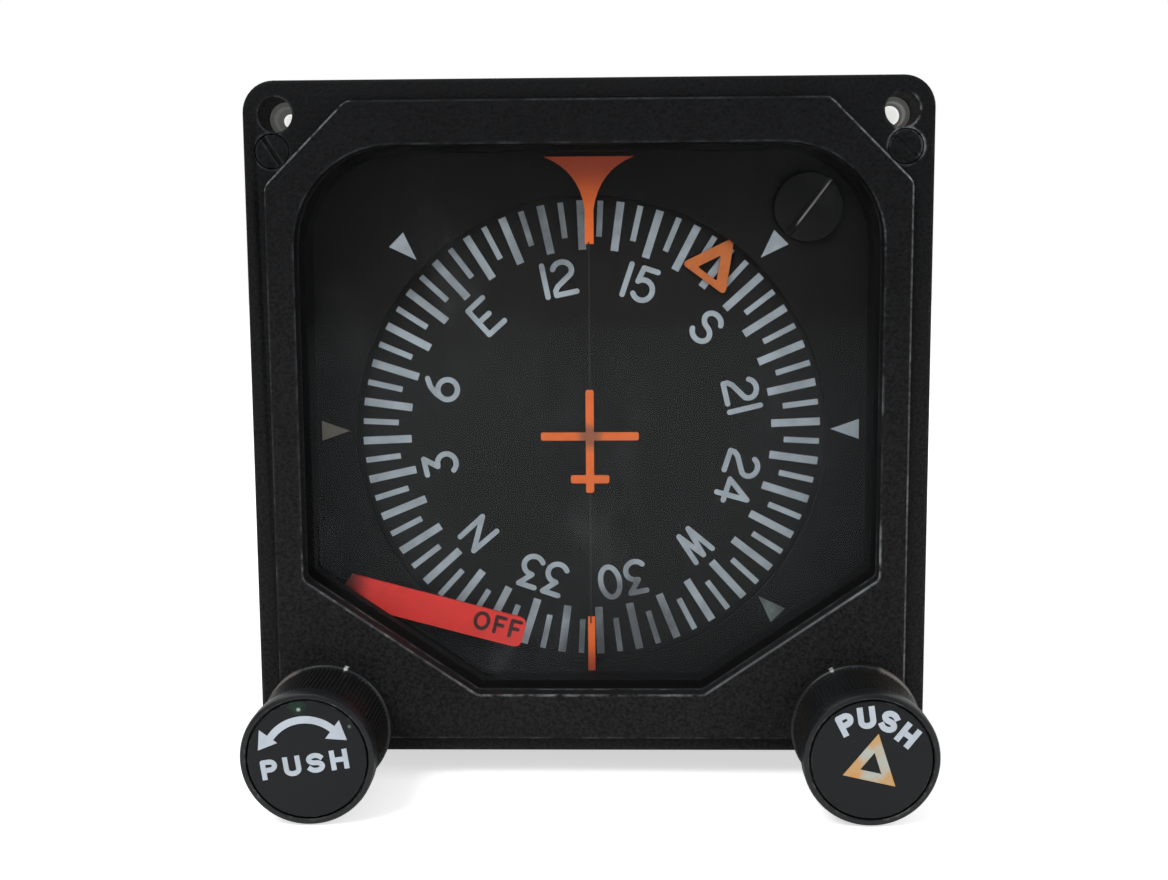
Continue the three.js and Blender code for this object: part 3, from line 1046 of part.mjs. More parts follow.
function rearCover() {
  const holes = [circle(CONNECTOR_NECK_RADIUS + FIT, 24)];
  const headBack = COVER_BACK + SEAT + COVER_SCREW_HEAD_THICK;
  const places = [[-1, -1], [1, -1], [1, 1], [-1, 1]];
  for (const [side, up] of places) {
    holes.push(circle(COVER_SCREW_RADIUS + FIT, 12, side * COVER_SCREW_PLACE, up * COVER_SCREW_PLACE));
  }
  const outline = rounded(square(CASE_HALF, CASE_CORNER));
  add('rear_cover', plate(outline, COVER_FRONT, COVER_BACK, ...holes), BLACK_PAINT);
  const blank = lathed([
    [0, headBack - COVER_SCREW_HEAD_THICK - COVER_SCREW_LENGTH],
    [COVER_SCREW_RADIUS, headBack - COVER_SCREW_HEAD_THICK - COVER_SCREW_LENGTH],
    [COVER_SCREW_RADIUS, headBack - COVER_SCREW_HEAD_THICK],
    [COVER_SCREW_HEAD_RADIUS, headBack - COVER_SCREW_HEAD_THICK],
    [COVER_SCREW_HEAD_RADIUS, headBack - COVER_SCREW_HEAD_THICK / 2],
    [COVER_SCREW_HEAD_RADIUS - COVER_SCREW_HEAD_THICK / 2, headBack], [0, headBack]], 14);
  const slot = box(-COVER_SCREW_HEAD_RADIUS - OVER, COVER_SCREW_HEAD_RADIUS + OVER, headBack - SLOT_DEPTH,
    headBack + OVER, -SLOT_WIDTH / 2, SLOT_WIDTH / 2);
  // Each screw ended up at a different turn when it was tightened
  places.forEach(([side, up], i) => {
    const screw = carved(blank, slot.clone().rotateY((i + 1) * COVER_SCREW_TURN));
    add(`cover_screw_${i + 1}`, screw, STEEL, side * COVER_SCREW_PLACE, 0, up * COVER_SCREW_PLACE);
  });
}

function connector() {
  const flangeFront = COVER_BACK + SEAT;
  const flangeBack = flangeFront + CONNECTOR_FLANGE_THICK;
  const neckFront = COVER_FRONT - CONNECTOR_WALL;
  const bore = CONNECTOR_RADIUS - CONNECTOR_WALL;
  const back = flangeBack + CONNECTOR_LENGTH;
  add('connector_shell', joined(
    plate(rounded(square(CONNECTOR_FLANGE_HALF, CONNECTOR_WALL)), flangeFront, flangeBack, circle(bore, 24)),
    tube(CONNECTOR_RADIUS, bore, flangeFront, back, 24),
    tube(CONNECTOR_NECK_RADIUS, bore, neckFront, flangeBack, 24)), ALUMINIUM);
  const insertBack = neckFront + INSERT_LENGTH;
  const pins = Array.from({ length: PIN_COUNT }, (_, i) => {
    const [x, z] = polar(PIN_CIRCLE, (2 * Math.PI * i) / PIN_COUNT);
    return cylinder(PIN_RADIUS, insertBack - PIN_LENGTH, insertBack + PIN_LENGTH, 6).translate(x, 0, z);
  });
  const key = cylinder(KEYWAY_RADIUS, neckFront - OVER, insertBack + OVER, 12).translate(0, 0, bore - FIT);
  add('connector_insert', joined(
    carved(cylinder(bore - FIT, neckFront, insertBack, 24), key), ...pins,
    cylinder(PIN_RADIUS, insertBack - PIN_LENGTH, insertBack + PIN_LENGTH, 6)), DULL_BLACK);
}

bezel();
slottedScrew('flange_screw_left', -SCREW_X, SCREW_Z);
slottedScrew('flange_screw_right', SCREW_X, SCREW_Z);
mountInsert('mount_insert_left', -MOUNT_X);
mountInsert('mount_insert_right', MOUNT_X);
windowStack();
accessPlug();
fixedMarks();
cardGroup();
bugGroup();
knobTrain('sync', -1, syncMesh, CARD_GEAR_FRONT);
knobTrain('heading', 1, headingMesh, BUG_RING_FRONT);
warningFlag();
gyroFrame();
outerGimbal();
innerGimbal();
electronics();
caseTube();
rearCover();
connector();

export default group;
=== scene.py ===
# %% [markdown]
# # A directional gyro for an aircraft panel
# The model of the solids is loaded first and stays as it is. Every piece made below is fitted to it.
# Lengths are written in millimetres, because the instrument is small, and MM turns them into metres.

# %% Load the solids
import json
import math
import bmesh
import bpy
from mathutils import Matrix, Vector

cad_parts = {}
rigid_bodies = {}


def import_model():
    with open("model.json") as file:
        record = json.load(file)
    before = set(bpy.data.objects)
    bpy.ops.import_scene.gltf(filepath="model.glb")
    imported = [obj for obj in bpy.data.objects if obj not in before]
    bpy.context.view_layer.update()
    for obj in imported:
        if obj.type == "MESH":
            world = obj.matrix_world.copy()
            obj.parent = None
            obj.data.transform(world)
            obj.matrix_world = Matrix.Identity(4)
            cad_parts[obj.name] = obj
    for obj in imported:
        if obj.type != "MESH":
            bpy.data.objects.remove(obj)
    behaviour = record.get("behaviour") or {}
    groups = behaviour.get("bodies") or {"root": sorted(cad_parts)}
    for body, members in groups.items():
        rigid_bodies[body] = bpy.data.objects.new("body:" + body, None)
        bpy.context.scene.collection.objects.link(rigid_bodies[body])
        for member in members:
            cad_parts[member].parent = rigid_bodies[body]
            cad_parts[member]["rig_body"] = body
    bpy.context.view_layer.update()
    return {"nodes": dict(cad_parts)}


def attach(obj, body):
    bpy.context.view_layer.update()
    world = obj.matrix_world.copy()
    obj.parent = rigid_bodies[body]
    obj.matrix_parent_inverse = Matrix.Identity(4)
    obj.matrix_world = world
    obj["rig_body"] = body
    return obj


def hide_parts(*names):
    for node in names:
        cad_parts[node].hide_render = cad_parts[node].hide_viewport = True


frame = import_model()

MM = 0.001
nodes = frame["nodes"]

# %% [markdown]
# ## The camera
# The picture was taken from a little above the middle, close to the glass. The lens and the place were
# found from the bezel's four corners and the knobs, so the camera is set by numbers and not aimed.

# %% Camera
FOCAL_PX, WIDTH_PX, SENSOR = 1500, 1168, 36
CAMERA_PLACE = (4.0, -181.5, 20.5)
YAW, PITCH, ROLL, LEVEL = 1.46, -7.08, 0.39, 90


def turn_about(axis, degrees):
    return Matrix.Rotation(math.radians(degrees), 4, axis)


camera = bpy.data.objects.new("camera", bpy.data.cameras.new("camera"))
bpy.context.scene.collection.objects.link(camera)
bpy.context.scene.camera = camera
camera.data.sensor_fit = "HORIZONTAL"
camera.data.sensor_width = SENSOR
camera.data.lens = FOCAL_PX / WIDTH_PX * SENSOR
camera.data.clip_start = 5 * MM
look = turn_about("Z", YAW) @ turn_about("X", PITCH) @ turn_about("Y", ROLL) @ turn_about("X", LEVEL)
camera.matrix_world = Matrix.Translation(Vector(CAMERA_PLACE) * MM) @ look
print("lens", round(camera.data.lens, 2), "mm")

# %% [markdown]
# ## Sizes of the front
# Everything is laid out round the square of the bezel. X runs right and Z up from its middle. Y runs back
# from the flange's front face, so what stands in front of the flange has a negative depth.

# %% Sizes of the front
HALF, CORNER, FLANGE = 41.275, 3.8, 10.5
PLATEAU, PLATEAU_SIDE, PLATEAU_TOP, PLATEAU_CUT = -1.1, HALF - 2.55, HALF - 2.5, 10
SILL_HALF, SILL, SLOPE_TOP, WINDOW_HALF, WINDOW_TOP = 14, -33.7, -19.2, 35.3, 33.5
WINDOW = [(-SILL_HALF, SILL, 1), (SILL_HALF, SILL, 1), (WINDOW_HALF, SLOPE_TOP, 1),
          (WINDOW_HALF, WINDOW_TOP, 12), (-WINDOW_HALF, WINDOW_TOP, 12), (-WINDOW_HALF, SLOPE_TOP, 1)]
MOUNT, SCREW = (37.3, 37.2), (37.8, 32.9)
KNOB_X, KNOB_Z, KNOB_FRONT, KNOB_BACK = 32.3, -36.9, -16.1, -3.3
CARD_Y, CARD_Z = 9.8, -2.1
GLASS_BACK, FLAG_FACE, MASK_FACE = 3.9, 6.2, 8.1
INK_PROUD, INK_SUNK = 0.06, 0.02
print("bezel", 2 * HALF, "mm square")

# %% [markdown]
# ## A short hand for nodes
# Shader trees get long when every link is written out. A Wire holds one socket, and sums on it add Math
# nodes, so a mask reads like the formula it is. Any other node comes from Desk.node.

# %% Wires
def sum_of(operation):
    """A method that adds a Math node, with the wire as its first value."""
    return lambda wire, *others: wire.desk.node(
        "ShaderNodeMath", dict(enumerate((wire, *others))), operation=operation)


class Wire:
    """One output socket that can be used in sums."""

    def __init__(self, desk, socket):
        self.desk, self.socket = desk, socket

    __add__ = __radd__ = sum_of("ADD")
    __mul__ = __rmul__ = sum_of("MULTIPLY")
    __sub__, __truediv__, __pow__ = sum_of("SUBTRACT"), sum_of("DIVIDE"), sum_of("POWER")
    __gt__, __lt__, __abs__ = sum_of("GREATER_THAN"), sum_of("LESS_THAN"), sum_of("ABSOLUTE")
    least, most, fraction, sine = sum_of("MINIMUM"), sum_of("MAXIMUM"), sum_of("FRACT"), sum_of("SINE")

    def __rsub__(self, other):
        return self * -1 + other

    def step(self, low, high):
        """0 below low, 1 above high and smooth between."""
        return self.desk.node("ShaderNodeMapRange", {"Value": self, "From Min": low, "From Max": high},
                              interpolation_type="SMOOTHSTEP")

    def near(self, place, low, high):
        """1 within low of a place, 0 beyond high and smooth between."""
        return 1 - abs(self - place).step(low, high)


print("sums add Math nodes")

# %% Desks
class Desk:
    """A node tree with one way to add to it."""

    PREFIX = "ShaderNode"

    def __init__(self, tree):
        self.tree = tree

    def node(self, kind, values=None, out=0, **settings):
        """A new node: its settings come first, then the values or links of its sockets."""
        made = self.tree.nodes.new(kind if "Node" in kind else self.PREFIX + kind)
        for name, value in settings.items():
            setattr(made, name, value)
        for name, value in (values or {}).items():
            if isinstance(value, Wire):
                self.tree.links.new(value.socket, made.inputs[name])
            else:
                made.inputs[name].default_value = value
        return Wire(self, made.outputs[out]) if made.outputs else None


print("one class for sums, one for trees")

# %% [markdown]
# ## Finishes
# Each finish starts as a Principled shader with its constant values set on the shader itself. Only what
# changes over the surface is linked. All patterns read Object coordinates. They are metres, and xyz()
# turns them into millimetres.

# %% Colours
def rgb(red, green, blue):
    """A screen colour, 0 to 255, as linear light."""
    share = [v / 255 for v in (red, green, blue)]
    return tuple(s / 12.92 if s <= 0.04045 else ((s + 0.055) / 1.055) ** 2.4 for s in share) + (1,)


def dimmed(color, share):
    return tuple(c * share for c in color[:3]) + (1,)


print("black paint is", [round(v, 4) for v in rgb(30, 32, 38)[:3]])

# %% A finish and its common patterns
class Finish(Desk):
    """A material under construction."""

    def __init__(self, name, color, roughness, **constants):
        self.material = bpy.data.materials.new(name)
        self.material.use_nodes = True
        super().__init__(self.material.node_tree)
        self.shader = self.tree.nodes["Principled BSDF"]
        for key, value in {"Base_Color": color, "Roughness": roughness, **constants}.items():
            self.shader.inputs[key.replace("_", " ")].default_value = value

    def xyz(self):
        """A point's place on the piece, in millimetres."""
        where = self.node("TexCoord", out="Object")
        return [self.node("SeparateXYZ", {"Vector": where}, axis) / MM for axis in "XYZ"]

    def noise(self, size, detail=3, rough=0.55, stretch=(1, 1, 1), shift=0):
        """Cloudy noise, 0 to 1, whose blobs are about size millimetres."""
        where = self.node("TexCoord", out="Object")
        where = self.node("Mapping", {"Vector": where, "Scale": stretch, "Location": (shift, shift, shift)})
        return self.node("TexNoise", {
            "Vector": where, "Scale": 1 / (size * MM), "Detail": detail, "Roughness": rough})

    def rim(self, reach, inside=True):
        """About 0.5 on convex edges, or in grooves when it looks from outside, and 0 on flat faces."""
        return 1 - self.node("AmbientOcclusion", {"Distance": reach * MM}, "AO",
                             inside=inside, only_local=True, samples=8)

    def away(self, x, z):
        """How far a point lies from a place on the front, in millimetres."""
        px, _, pz = self.xyz()
        dx, dz = px - x, pz - z
        return (dx * dx + dz * dz) ** 0.5

    def spot(self, x, z, radius):
        """1 at a place on the front and 0 beyond the radius, with a ragged edge."""
        far = self.away(x, z) + (self.noise(radius * 0.5, 2) - 0.5) * radius
        return 1 - far.step(radius * 0.4, radius * 0.9)

    def mix(self, low, high, mask):
        return self.node("Mix", {"Factor": mask, 6: low, 7: high}, 2, data_type="RGBA")

    def layers(self, base, *coats):
        """A base under coats, each a colour and its mask."""
        for color, mask in coats:
            base = self.mix(base, color, mask)
        return base

    def link(self, name, wire):
        self.tree.links.new(wire.socket, self.shader.inputs[name])

    def paint(self, color, roughness=None, height=None, depth=0):
        """Links what varies; depth is in millimetres, for a height that runs from 0 to 1."""
        self.link("Base Color", color)
        if roughness:
            self.link("Roughness", roughness)
        if height:
            self.link("Normal", self.node("Bump", {"Height": height, "Distance": depth * MM, "Strength": 1}))
        print(self.material.name, "has", len(self.tree.nodes), "nodes")
        return self.material


# %% [markdown]
# ### Charcoal wrinkle paint
# The bezel is a casting under fine wrinkle paint. Years of handling polish the edges to a lighter grey, and
# small chips show bare metal. Ambient occlusion, measured inside the solid, finds the convex edges. Where
# a bright line follows the plateau or the window, it is drawn by its distance from that outline.

# %% Worn lines on the bezel
SLOPE = Vector((WINDOW_HALF - SILL_HALF, SLOPE_TOP - SILL)).normalized()


def plateau_line(f, x, z, patchy):
    """Just inside the plateau's edge, brightest along the cut corners and down the right side."""
    cut = (PLATEAU_SIDE + PLATEAU_TOP - PLATEAU_CUT - abs(x) - z) * math.sqrt(0.5)
    inside = cut.least(PLATEAU_SIDE - abs(x)).least(PLATEAU_TOP - z)
    strong = (1 - cut.step(0.3, 0.7)) * 0.5 + x.step(36, 38) * (patchy * 0.2 + 0.3) + patchy * 0.1
    return inside.near(0.14, 0.05, 0.2) * strong * f.noise(1.1, 4, 0.7).step(0.3, 0.62)


def window_line(f, x, y, z, patchy):
    """Along the window's sloping lower corners, on the front face only."""
    beside = (abs(x) - SILL_HALF) * SLOPE.y - (z - SILL) * SLOPE.x
    along = abs(x).step(SILL_HALF - 0.1, SILL_HALF + 0.4) * (SLOPE_TOP - z).step(0, 0.6)
    grey_patch = (x.step(0, 1) * 0.4 + patchy * 0.2) * (y * -1).step(0.7, 0.95)
    return along * beside.near(0.08, 0.05, 0.2) * grey_patch * f.noise(1.3, 4, 0.7, shift=4).step(0.2, 0.5)


print("the window's slope is", round(math.degrees(math.atan2(SLOPE.y, SLOPE.x)), 1), "degrees")

# %% Bezel paint
def charcoal_paint():
    f = Finish("charcoal_paint", rgb(19, 19, 21), 0.55, Specular_IOR_Level=0.1)
    x, y, z = f.xyz()
    grain = f.noise(0.4, 4, 0.65).step(0.32, 0.68)
    patchy = f.noise(11, 2, shift=11).step(0.42, 0.58)
    line = plateau_line(f, x, z, patchy).most(window_line(f, x, y, z, patchy))
    handled = (z * -1).step(12, 24) * (patchy * 0.7 + 0.3) + x.step(28, 38) * patchy * 0.6
    edge = f.rim(0.45).step(0.1, 0.34) * f.noise(2.2, 5, 0.7, shift=3).step(0.4, 0.66)
    worn = edge * (handled + 0.12).least(1)
    chip = (f.noise(0.9, 2, 0.5, shift=9) > 0.8) * f.noise(9, 2, shift=5).step(0.5, 0.6)
    scuff = f.noise(1.4, 4, 0.7, (1, 1, 9), 2).step(0.66, 0.78) * 0.35
    # The paint runs from darker at the top to lighter at the bottom.
    down = (z * -1).step(-45, 45)
    low, high = f.mix(rgb(1, 1, 2), rgb(8, 8, 9), down), f.mix(rgb(20, 21, 23), rgb(41, 41, 42), down)
    base = f.layers(f.mix(low, high, f.noise(14) * 0.3 + grain * 0.7), (rgb(46, 47, 49), scuff),
                    (rgb(134, 138, 140), (worn * 0.85).most(line)), (rgb(190, 190, 188), chip))
    return f.paint(base, 0.48 + grain * 0.2 - worn * 0.12, grain + f.noise(0.9) * 0.6, 0.045)


CHARCOAL = charcoal_paint()

# %% [markdown]
# ### Satin black for the case
# The case behind the panel is drawn sheet, sprayed satin black. It has a faint orange peel and long light
# scratches from sliding in and out of the panel, which run along its length.

# %% Case paint
def case_paint():
    f = Finish("case_paint", rgb(26, 26, 29), 0.42)
    cloud = f.noise(30)
    lines = f.noise(0.7, 4, 0.6, (1, 0.02, 1), 4).step(0.6, 0.68) * f.noise(14, shift=7).step(0.46, 0.6)
    grey_patch = f.noise(16, 5, 0.65, shift=3).step(0.52, 0.7)
    chip = (f.noise(1.3, 3, 0.6, shift=9) > 0.74) * f.noise(11, 2, shift=5).step(0.48, 0.6)
    worn = f.rim(0.7).step(0.1, 0.4) * f.noise(3, 4, 0.6).step(0.4, 0.6)
    base = f.layers(f.mix(rgb(16, 16, 19), rgb(32, 32, 35), cloud.step(0.3, 0.7)),
                    (rgb(58, 58, 60), grey_patch * 0.4), (rgb(112, 112, 112), lines * 0.55),
                    (rgb(152, 150, 144), (worn * 0.85).most(chip)))
    return f.paint(base, 0.34 + cloud * 0.2 - grey_patch * 0.1, f.noise(0.8, 2) - chip * 2, 0.014)


CASE_BLACK = case_paint()

# %% [markdown]
# ### Knob plastic
# The knobs are moulded black plastic. Brown dust stays between their ribs, and their rims are worn pale in
# places. Each base ring carries painted light: a broad painted reflection on its outer side and a small
# painted glint on its top. The left face has a few small pale specks. What one knob has in one place only is
# a spot, set by its place on the front.

# %% Marks on the knobs
def body_marks(f):
    """Dust between the ribs, and on the base ring a broad painted reflection and small painted glints."""
    ring_part = f.xyz()[1].step(-4.9, -4.7)
    dust = f.rim(0.5, False).step(0.1, 0.6) * (f.noise(1.6).step(0.3, 0.7) * 0.4 + 0.4)
    # A painted reflection: a broad pale patch on the outer side of each base ring.
    grey_patch = (f.spot(38, -31.2, 4) + f.spot(-38.2, -31.2, 3.6) * 0.7) * ring_part
    # Painted glints: small bright specks on top of each base ring.
    pale_specks = (f.spot(-29.7, -29.4, 0.35) + f.spot(29.2, -29.6, 0.35) * 0.6) * ring_part
    return (rgb(62, 53, 44), dust), (rgb(104, 98, 92), grey_patch), (rgb(190, 192, 186), pale_specks)


def face_marks(f):
    """A green stain and small pale specks on the left face."""
    pale_specks = f.spot(-33.1, -31, 0.32) + f.spot(-27.3, -33, 0.3) * 0.3
    return (rgb(26, 50, 40), f.spot(-33.3, -30.6, 1.4) * 0.8), (rgb(150, 166, 156), pale_specks)


print("marks for bodies and faces")

# %% Knob plastic
def knob_plastic(name, marks, shine):
    """Worn edges lie only near the two ends, away from the middle of the grip."""
    f = Finish(name, rgb(20, 20, 22), 0.34, Specular_IOR_Level=shine)
    cloud, fine = f.noise(5), f.noise(0.3)
    ends = abs(f.xyz()[1] + 9.2).step(4, 4.6)
    worn = f.rim(0.3).step(0.14, 0.4) * f.noise(1.1, 4, 0.7).step(0.5, 0.68) * ends
    base = f.mix(rgb(12, 13, 15), rgb(26, 28, 30), cloud * 0.5 + fine * 0.5)
    base = f.layers(base, *marks(f), (rgb(150, 150, 145), worn * 0.55))
    return f.paint(base, 0.28 + cloud * 0.22, fine, 0.008)


KNOB_BLACK = knob_plastic("knob_plastic", body_marks, 0.4)
FACE_BLACK = knob_plastic("knob_face_plastic", face_marks, 0.25)

# %% [markdown]
# ### Dial black and the printing on it
# The card, the mask and the window's wall are sprayed dead black so that nothing shines behind the glass.
# The marks are silk-screened in a cool grey white that has gone uneven. The same ink, warmer and
# browner, is on the left index, where light has yellowed it.

# %% Dial black
def dial_black(name, tone):
    f = Finish(name, rgb(30, 30, 32), 0.8, Specular_IOR_Level=0.2)
    fine, cloud = f.noise(0.16, 3, 0.7), f.noise(9)
    low, high = dimmed(rgb(22, 22, 22), tone), dimmed(rgb(40, 39, 38), tone)
    return f.paint(f.mix(low, high, fine * 0.6 + cloud * 0.4), 0.7 + cloud * 0.2, fine, 0.008)


# The mask is made darker than the card, and the window's wall darker still.
CARD_BLACK = dial_black("card_black", 1.0)
MASK_BLACK = dial_black("mask_black", 0.7)
WINDOW_BLACK = dial_black("window_black", 0.4)

# %% Inks
# The card's marks are darker in three places: near the top, near the bottom and at the upper left.
CARD_DARK_SPOTS = ((-4, 26, 11, 0.6), (4, -30, 13, 0.8), (-19, 17, 9, 0.35))


def ink(name, color, dim, wear=0.55, darker_places=()):
    """Darker places are (x, z, radius, share)."""
    f = Finish(name, color, 0.6)
    patch, pores = f.noise(2.6), f.noise(0.22, 3, 0.7)
    mask = patch.step(0.3, 0.75) * wear + pores.step(0.55, 0.85) * 0.5
    for x, z, radius, share in darker_places:
        mask = mask + f.spot(x, z, radius) * share
    return f.paint(f.mix(color, dim, mask.least(1)), 0.5 + patch * 0.2, pores, 0.005)


INK = ink("pale_ink", rgb(172, 184, 192), rgb(124, 132, 136))
CARD_INK = ink("card_ink", rgb(172, 184, 192), rgb(98, 104, 108), 0.35, CARD_DARK_SPOTS)
FAINT_INK = ink("yellowed_ink", rgb(112, 106, 96), rgb(78, 74, 68))
DIM_INK = ink("dirty_ink", rgb(130, 140, 138), rgb(70, 76, 76), 0.9)
KNOB_INK = ink("knob_ink", rgb(184, 193, 203), rgb(154, 162, 169), 0.4)
FLAG_INK = ink("flag_ink", rgb(52, 14, 12), rgb(84, 24, 20))
HAIR = ink("hairline_black", rgb(16, 15, 15), rgb(22, 20, 19))

# %% [markdown]
# ### Orange and red paint
# The lubber lines, the aircraft symbol and the bug are painted in an orange made to be seen at dusk, and
# the flag in red. The bug's orange is duller, because it was touched up by hand.

# %% Signal paints
def signal_paint(name, color, dim, shaded=None):
    """Left of the shaded place, if one is given, the paint is dark from the shade of the bezel."""
    f = Finish(name, color, 0.55)
    patch, fine = f.noise(1.8, 4), f.noise(0.12, 2)
    worn = f.rim(0.12).step(0.2, 0.5) * f.noise(0.7).step(0.5, 0.65)
    base = f.mix(color, dim, patch.step(0.35, 0.8) * 0.55 + fine * 0.15)
    base = f.mix(base, dimmed(dim, 0.45), worn * 0.5)
    if shaded:
        shade = 1 - (f.xyz()[0] + f.noise(1.2)).step(shaded - 1.5, shaded + 1.5)
        base = f.mix(base, rgb(52, 14, 14), shade * 0.9)
    return f.paint(base, 0.45 + patch * 0.2, fine, 0.01)


BUG_ORANGE = signal_paint("bug_orange", rgb(206, 112, 48), rgb(178, 92, 40))
RED = signal_paint("flag_red", rgb(240, 50, 40), rgb(212, 46, 38), -29)

# %% Three kinds of orange
def worn_orange():
    """The hollow triangle on the right knob: orange that has worn away to white."""
    f = Finish("worn_orange", rgb(235, 170, 90), 0.55)
    kept = f.spot(29, -38.62, 4) + f.spot(34.6, -39.95, 2.6) + f.spot(32.6, -33.76, 3)
    patch = (kept * 0.75 + f.noise(1.2, 2, shift=1.7).step(0.5, 0.8) * 0.35).least(1)
    base = f.mix(rgb(172, 177, 168), rgb(198, 142, 64), patch)
    return f.paint(base, 0.5 + patch * 0.15, f.noise(0.2), 0.006)


def marker_orange():
    """The aircraft symbol, with the grey worn spot in its middle."""
    f = Finish("marker_orange", rgb(246, 122, 40), 0.55)
    far = f.away(0, CARD_Z) + (f.noise(0.6) - 0.5) * 1.2
    grey_patch = (1 - far.step(0.7, 2.1)) * 0.75
    base = f.mix(rgb(232, 110, 36), rgb(206, 92, 34), f.noise(1.6).step(0.4, 0.8) * 0.6)
    return f.paint(f.mix(base, rgb(104, 80, 66), grey_patch), 0.5 + grey_patch * 0.2, f.noise(0.2), 0.006)


def lubber_orange():
    """The lubber lines, which the shade of the bezel turns to a deep red near the window's edge."""
    f = Finish("lubber_orange", rgb(240, 116, 40), 0.55)
    z, patch = f.xyz()[2], f.noise(1.6)
    shade = z.step(26, 31.5) + (z * -1).step(29, 33.5)
    base = f.mix(rgb(246, 112, 34), rgb(226, 98, 34), patch.step(0.4, 0.8) * 0.6)
    return f.paint(f.mix(base, rgb(150, 48, 22), shade * 0.85), 0.45 + patch * 0.2, f.noise(0.2), 0.006)


WORN_ORANGE, MARKER_ORANGE, LUBBER_ORANGE = worn_orange(), marker_orange(), lubber_orange()

# %% [markdown]
# ### Metals
# Turned parts show fine rings, milled ones show short straight strokes, and brass gears have gone brown in
# their roots. One function makes them all, with the direction in which the grain is stretched.

# %% Metals
def metal(name, color, dark, rough, stretch):
    f = Finish(name, color, rough, Metallic=1.0)
    strokes, cloud = f.noise(0.25, 3, 0.6, stretch), f.noise(6)
    tarnish = f.noise(2.5, 4, shift=6).step(0.45, 0.75)
    base = f.mix(color, dark, strokes * 0.35 + tarnish * 0.5)
    return f.paint(base, rough + cloud * 0.15 + tarnish * 0.1, strokes, 0.006)


STEEL = metal("turned_steel", rgb(168, 170, 174), rgb(112, 112, 114), 0.3, (1, 0.08, 1))
BRASS = metal("machined_brass", rgb(196, 162, 92), rgb(120, 90, 46), 0.34, (1, 0.1, 1))
ALUMINIUM = metal("milled_aluminium", rgb(186, 188, 190), rgb(140, 141, 142), 0.4, (0.12, 1, 1))

# %% [markdown]
# ### Nylon, rubber, lacquer and the circuit board
# The inserts in the mounting holes are grey nylon with a pale film over their bore; both glow with painted
# light that stands for light from behind. The gasket is rubber. The windings are varnished brown, and the
# board is green with a woven look under its lacquer.

# %% Small finishes
def plain(name, low, high, rough, size, depth, through=0):
    """A cloudy finish; through is an emission strength, painted light that stands for light from behind the
    piece.
    """
    f = Finish(name, high, rough, Emission_Color=high, Emission_Strength=through)
    cloud, fine = f.noise(size), f.noise(size / 12)
    return f.paint(f.mix(low, high, cloud * 0.7 + fine * 0.3), rough - 0.06 + cloud * 0.12, fine, depth)


# Both glow: painted light. On the film it stands for the white backdrop seen through the hole, on the nylon
# for light from behind shining through it.
NYLON = plain("grey_nylon", rgb(120, 121, 118), rgb(156, 157, 152), 0.5, 1.5, 0.01, 0.14)
BACKLIGHT_FILM = plain("pale_film", rgb(232, 232, 228), rgb(246, 246, 244), 0.5, 1.5, 0.01, 0.7)
RUBBER = plain("gasket_rubber", rgb(14, 14, 14), rgb(24, 24, 24), 0.8, 2, 0.01)
LACQUER = plain("brown_lacquer", rgb(44, 26, 16), rgb(78, 48, 28), 0.35, 3, 0.02)
CHIP_BLACK = plain("chip_black", rgb(22, 22, 23), rgb(36, 36, 37), 0.6, 2, 0.01)

# %% Board
TRACK_PITCH, TRACK_LENGTH, WEAVE = 2.54, 12, 4


def board_green():
    f = Finish("board_green", rgb(34, 92, 60), 0.35)
    x, _, z = f.xyz()
    tracks = ((x / TRACK_PITCH).fraction() > 0.62) * ((z / TRACK_LENGTH).fraction() < 0.8)
    weave = (x * WEAVE).sine() * (z * WEAVE).sine()
    base = f.mix(rgb(24, 74, 46), rgb(48, 112, 66), tracks * 0.7 + f.noise(4) * 0.3)
    return f.paint(base, 0.3 + tracks * 0.15, tracks + weave * 0.2, 0.02)


BOARD = board_green()

# %% [markdown]
# ### Glass
# Real refraction costs many samples and would darken the dial through its own shadow. The pane is thin and
# flat, so it is see-through with a Fresnel reflection mixed over it, weak as on bloomed glass, plus a little
# haze: fingerprints and dust that catch the light.

# %% Window glass
def window_glass():
    f = Finish("window_glass", (1, 1, 1, 1), 0.08, Metallic=1.0)
    smear = f.noise(9, 4, 0.65, (1, 1, 0.6), 1).step(0.52, 0.8)
    dust = f.noise(0.3, 2, 0.5, shift=8).step(0.7, 0.8) * f.noise(5, shift=2).step(0.45, 0.7)
    lint = f.noise(0.5, 2, 0.5, (1, 1, 0.06), 3).step(0.73, 0.78)
    breath = f.spot(-8, -30, 9) * 0.014 + f.spot(24, -22, 7) * 0.006
    haze = smear * 0.012 + dust * 0.03 + lint * 0.02 + 0.002 + breath * (smear * 0.5 + 0.5)
    mirror = f.node("Fresnel", {"IOR": 1.22}).least(0.5)
    film = f.node("MixShader", {
        0: mirror + haze, 1: f.node("BsdfTransparent"), 2: Wire(f, f.shader.outputs[0])})
    f.tree.links.new(film.socket, f.tree.nodes["Material Output"].inputs["Surface"])
    return f.paint(f.mix(rgb(150, 160, 168), rgb(214, 218, 220), smear), 0.06 + smear * 0.3)


GLASS = window_glass()
print("finishes:", len(bpy.data.materials))

# %% [markdown]
# ## Shapes from outlines
# Most parts of an instrument front are plates with rounded outlines, or turned parts. An outline is a list of
# (x, z) points, counterclockwise as seen from the front. The first helpers draw and move outlines.

# %% Simple outlines
def bow(x, z, rx, rz, start, end, steps=14):
    """Points on an ellipse round (x, z) from one angle to another, in degrees."""
    turn = [math.radians(start + (end - start) * k / steps) for k in range(steps + 1)]
    return [(x + rx * math.cos(t), z + rz * math.sin(t)) for t in turn]


def ring(radius, sides=96, x=0, z=0):
    return bow(x, z, radius, radius, 0, 360, sides)[:-1]


